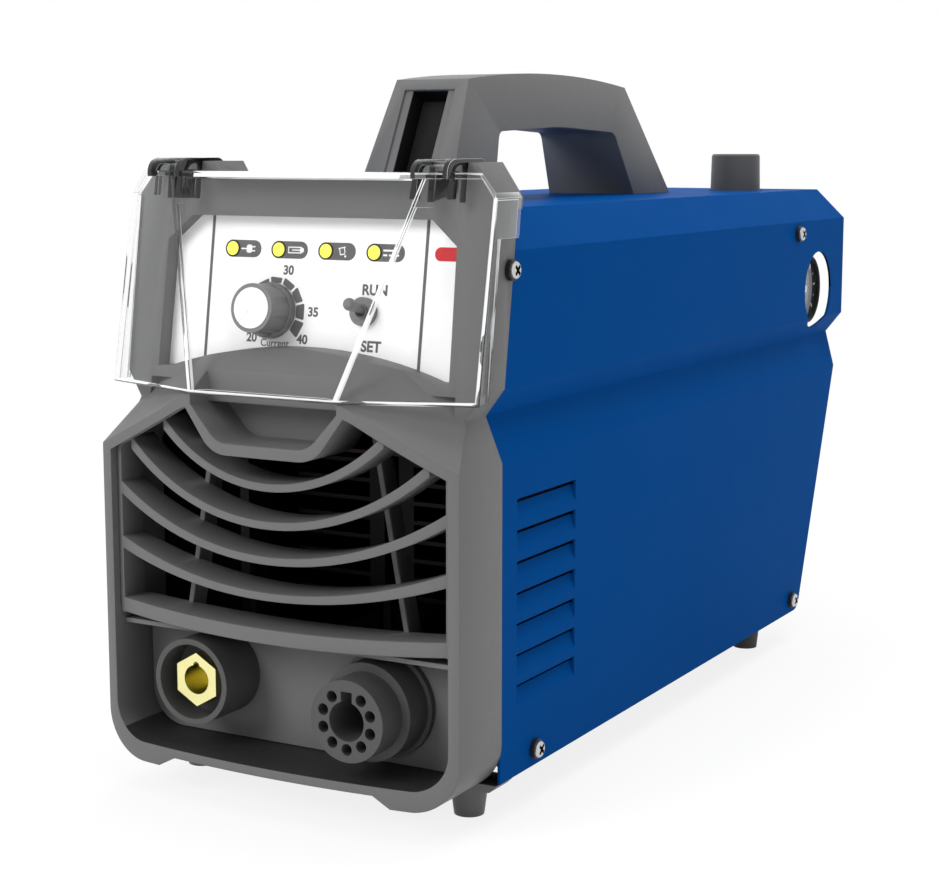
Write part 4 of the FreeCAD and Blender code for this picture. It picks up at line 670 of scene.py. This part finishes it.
# painted shade: the faces of the cross recess take the near-black metal, not the plated steel
for turn in (45, 135):
    bpy.ops.mesh.primitive_cube_add(size=1, location=(0, 0, head_t), rotation=(0, 0, math.radians(turn)))
    cutter = bpy.context.object
    cutter.scale = cross_size
    cutter.data.materials.append(black_metal_for_shade)
    press(screw, "BOOLEAN", object=cutter, operation="DIFFERENCE", solver="EXACT", material_mode="TRANSFER")
    bpy.data.objects.remove(cutter)
count = 0
for back, z in screw_spots:
    proud = bezel_proud if back < bezel_back else 0.0
    length = screw_reach + proud + bush_t
    under_head = (0, 0, -length / 2)
    for side in (-1, 1):
        count += 1
        copy = bpy.data.objects.new("screw", screw.data.copy())
        scene.collection.objects.link(copy)
        bpy.ops.mesh.primitive_cylinder_add(vertices=24, radius=shank_r, depth=length, location=under_head)
        shank = bpy.context.object
        shank.data.materials.append(steel)
        bpy.ops.object.transform_apply()
        only(shank, copy)
        bpy.ops.object.join()
        seat = Matrix.Translation((side * (cover_half + proud + bush_t), cover_front + back * MM, z * MM))
        copy.matrix_world = seat @ Matrix.Rotation(side * math.pi / 2, 4, "Y")
        bpy.ops.object.shade_smooth_by_angle(angle=math.radians(35))
        settle(copy, "side_screw_%d" % count, steel, "housing")
        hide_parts("side_screws")
bpy.data.objects.remove(screw)

# Sockets: dark moulded collars held by lock nuts in a grey moulded plate. The work cable's
# plug goes into the brass insert, the torch's into the ring of contact holes.
socket_black = moulding("socket_moulding", 0.062, 0.42, 0.5 * MM)
recess_grey = moulding("recess_moulding", 0.130, 0.5, 0.4 * MM)
for node in ("work_socket", "torch_socket", "socket_nuts"):
    wear(node, socket_black)
wear("socket_plate", recess_grey)
wear("work_socket_insert", brass)
wear("solenoid_valve", brass)

# Rear and base: black moulded switch, gland and fan in a dark coated panel, the filter
# regulator in its alcove, and the dark coated tray on its rubber feet.
for node in (
    "screw_bushes", "power_switch", "power_rocker", "cable_gland", "gland_nut",
    "fan_frame", "fan_rotor", "pressure_gauge", "regulator_body", "board_spacers",
):
    wear(node, black_plastic)
wear("regulator_knob", moulding("regulator_knob_moulding", 0.07, 0.45))
dark_coat = moulding("dark_coat", 0.022, 0.5, 0.4 * MM)
for node in ("base_tray", "rear_panel", "regulator_bracket"):
    wear(node, dark_coat)
wear("rear_feet", moulding("rubber", 0.055, 0.7))
wear("regulator_bowl", clear_plastic)
wear("gauge_lens", clear_plastic)

# Gauge: a black stamped face with pale printed marks and needle, behind its clear lens. It
# looks out through the round hole of the right-hand wall.
face_place = (82.1 * MM, cover_front + 387.5 * MM, 202.5 * MM)
face_r = 17.6 * MM
face_t = 0.4 * MM
face_rounding = 0.1 * MM
outward_turn = Matrix.Rotation(math.pi / 2, 4, "Z") @ Matrix.Rotation(math.pi / 2, 4, "X")
dial_frame = Matrix.Translation(face_place) @ outward_turn
bpy.ops.mesh.primitive_cylinder_add(vertices=64, radius=face_r, depth=face_t)
face_plate = bpy.context.object
press(face_plate, "BEVEL", width=face_rounding, segments=1, limit_method="ANGLE")
face_plate.matrix_world = dial_frame @ Matrix.Translation((0, 0, face_t / 2))
settle(face_plate, "gauge_face", black_plastic, "housing")
mark_r = 14.0
mark_first = 135
mark_step = 27
long_mark = (0.9, 3.2)
short_mark = (0.5, 2.0)
needle_turn = 100
gauge_parts = []
for k in range(11):
    wide, tall = short_mark if k % 2 else long_mark
    gauge_parts.append(patch(0, mark_r, wide, tall, turn=mark_first - mark_step * k))
gauge_parts.append(patch(0, 5.0, 1.0, 15.0, turn=needle_turn))
gauge_parts.append(patch(0, 0, 4.0, 4.0, 1.8))
printed(gauge_parts, "gauge_marks", white_ink, dial_frame, face_t + print_lift)

# Painted shade: a black sheet, shaped as a gauze with its border pressed flat, behind the slots
# of each wall, so that no light shows through them and the inside stays dark.
gauze_wide = 78.0 * MM
gauze_tall = 106.0 * MM
gauze_border = 4.0 * MM
gauze_pressed = 0.15 * MM
gauze_t = 0.3 * MM
gauze_x = 85.6 * MM
gauze_y = cover_front + 42.5 * MM
gauze_z = 96.0 * MM
# the sheet's near-black stands for the shade inside the walls
shade_net = Paint("shade_gauze", Roughness=0.8, Specular_IOR_Level=0.1)
shade_net_tone = shade_net.mix(shade_net.noise(900.0), (0.002, 0.002, 0.002, 1), (0.008, 0.008, 0.008, 1))
shade_gauze_black = shade_net.feed(Base_Color=shade_net_tone, Normal=shade_net.bump(shade_net.noise(1500.0), 0.1 * MM))
bpy.ops.mesh.primitive_plane_add(size=1)
gauze = bpy.context.object
gauze.scale = (gauze_wide, gauze_tall, 1)
bpy.ops.object.transform_apply()
bpy.ops.object.mode_set(mode="EDIT")
bpy.ops.mesh.inset(thickness=gauze_border)
bpy.ops.transform.translate(value=(0, 0, gauze_pressed))
bpy.ops.mesh.subdivide(number_cuts=6)
bpy.ops.object.mode_set(mode="OBJECT")
press(gauze, "SOLIDIFY", thickness=gauze_t, offset=0)
for side, name in ((-1, "shade_gauze_left"), (1, "shade_gauze_right")):
    copy = bpy.data.objects.new("gauze", gauze.data.copy())
    scene.collection.objects.link(copy)
    upright = Matrix.Rotation(side * math.pi / 2, 4, "Z") @ Matrix.Rotation(math.pi / 2, 4, "X")
    copy.matrix_world = Matrix.Translation((side * gauze_x, gauze_y, gauze_z)) @ upright
    settle(copy, name, shade_gauze_black, "housing")
bpy.data.objects.remove(gauze)

# Inside: the power board with its heat sinks, transformer and capacitors, and the control
# board. They are seen only through the grille.
# painted shade: the boards are red and green, and made very dark as shade inside the cover
red_board = Paint("red_board", Roughness=0.5)
shaded_red_tone = red_board.mix(red_board.noise(90.0), (0.03, 0.002, 0.003, 1), (0.06, 0.004, 0.005, 1))
wear("main_board", red_board.feed(Base_Color=shaded_red_tone))
green_board = Paint("green_board", Roughness=0.5)
shaded_green_tone = green_board.mix(green_board.noise(90.0), (0.004, 0.03, 0.01, 1), (0.006, 0.05, 0.015, 1))
wear("control_board", green_board.feed(Base_Color=shaded_green_tone))
tape = Paint("winding_tape", Roughness=0.5)
tape_tone = tape.mix(tape.noise(50.0), (0.05, 0.03, 0.006, 1), (0.08, 0.05, 0.01, 1))
wear("transformer_winding", tape.feed(Base_Color=tape_tone))
# painted shade: the heat sinks and board posts take the near-black metal so that the inside reads dark
wear("heatsinks", black_metal_for_shade)
wear("board_posts", black_metal_for_shade)
wear("transformer_core", black_plastic)
wear("capacitors", black_plastic)
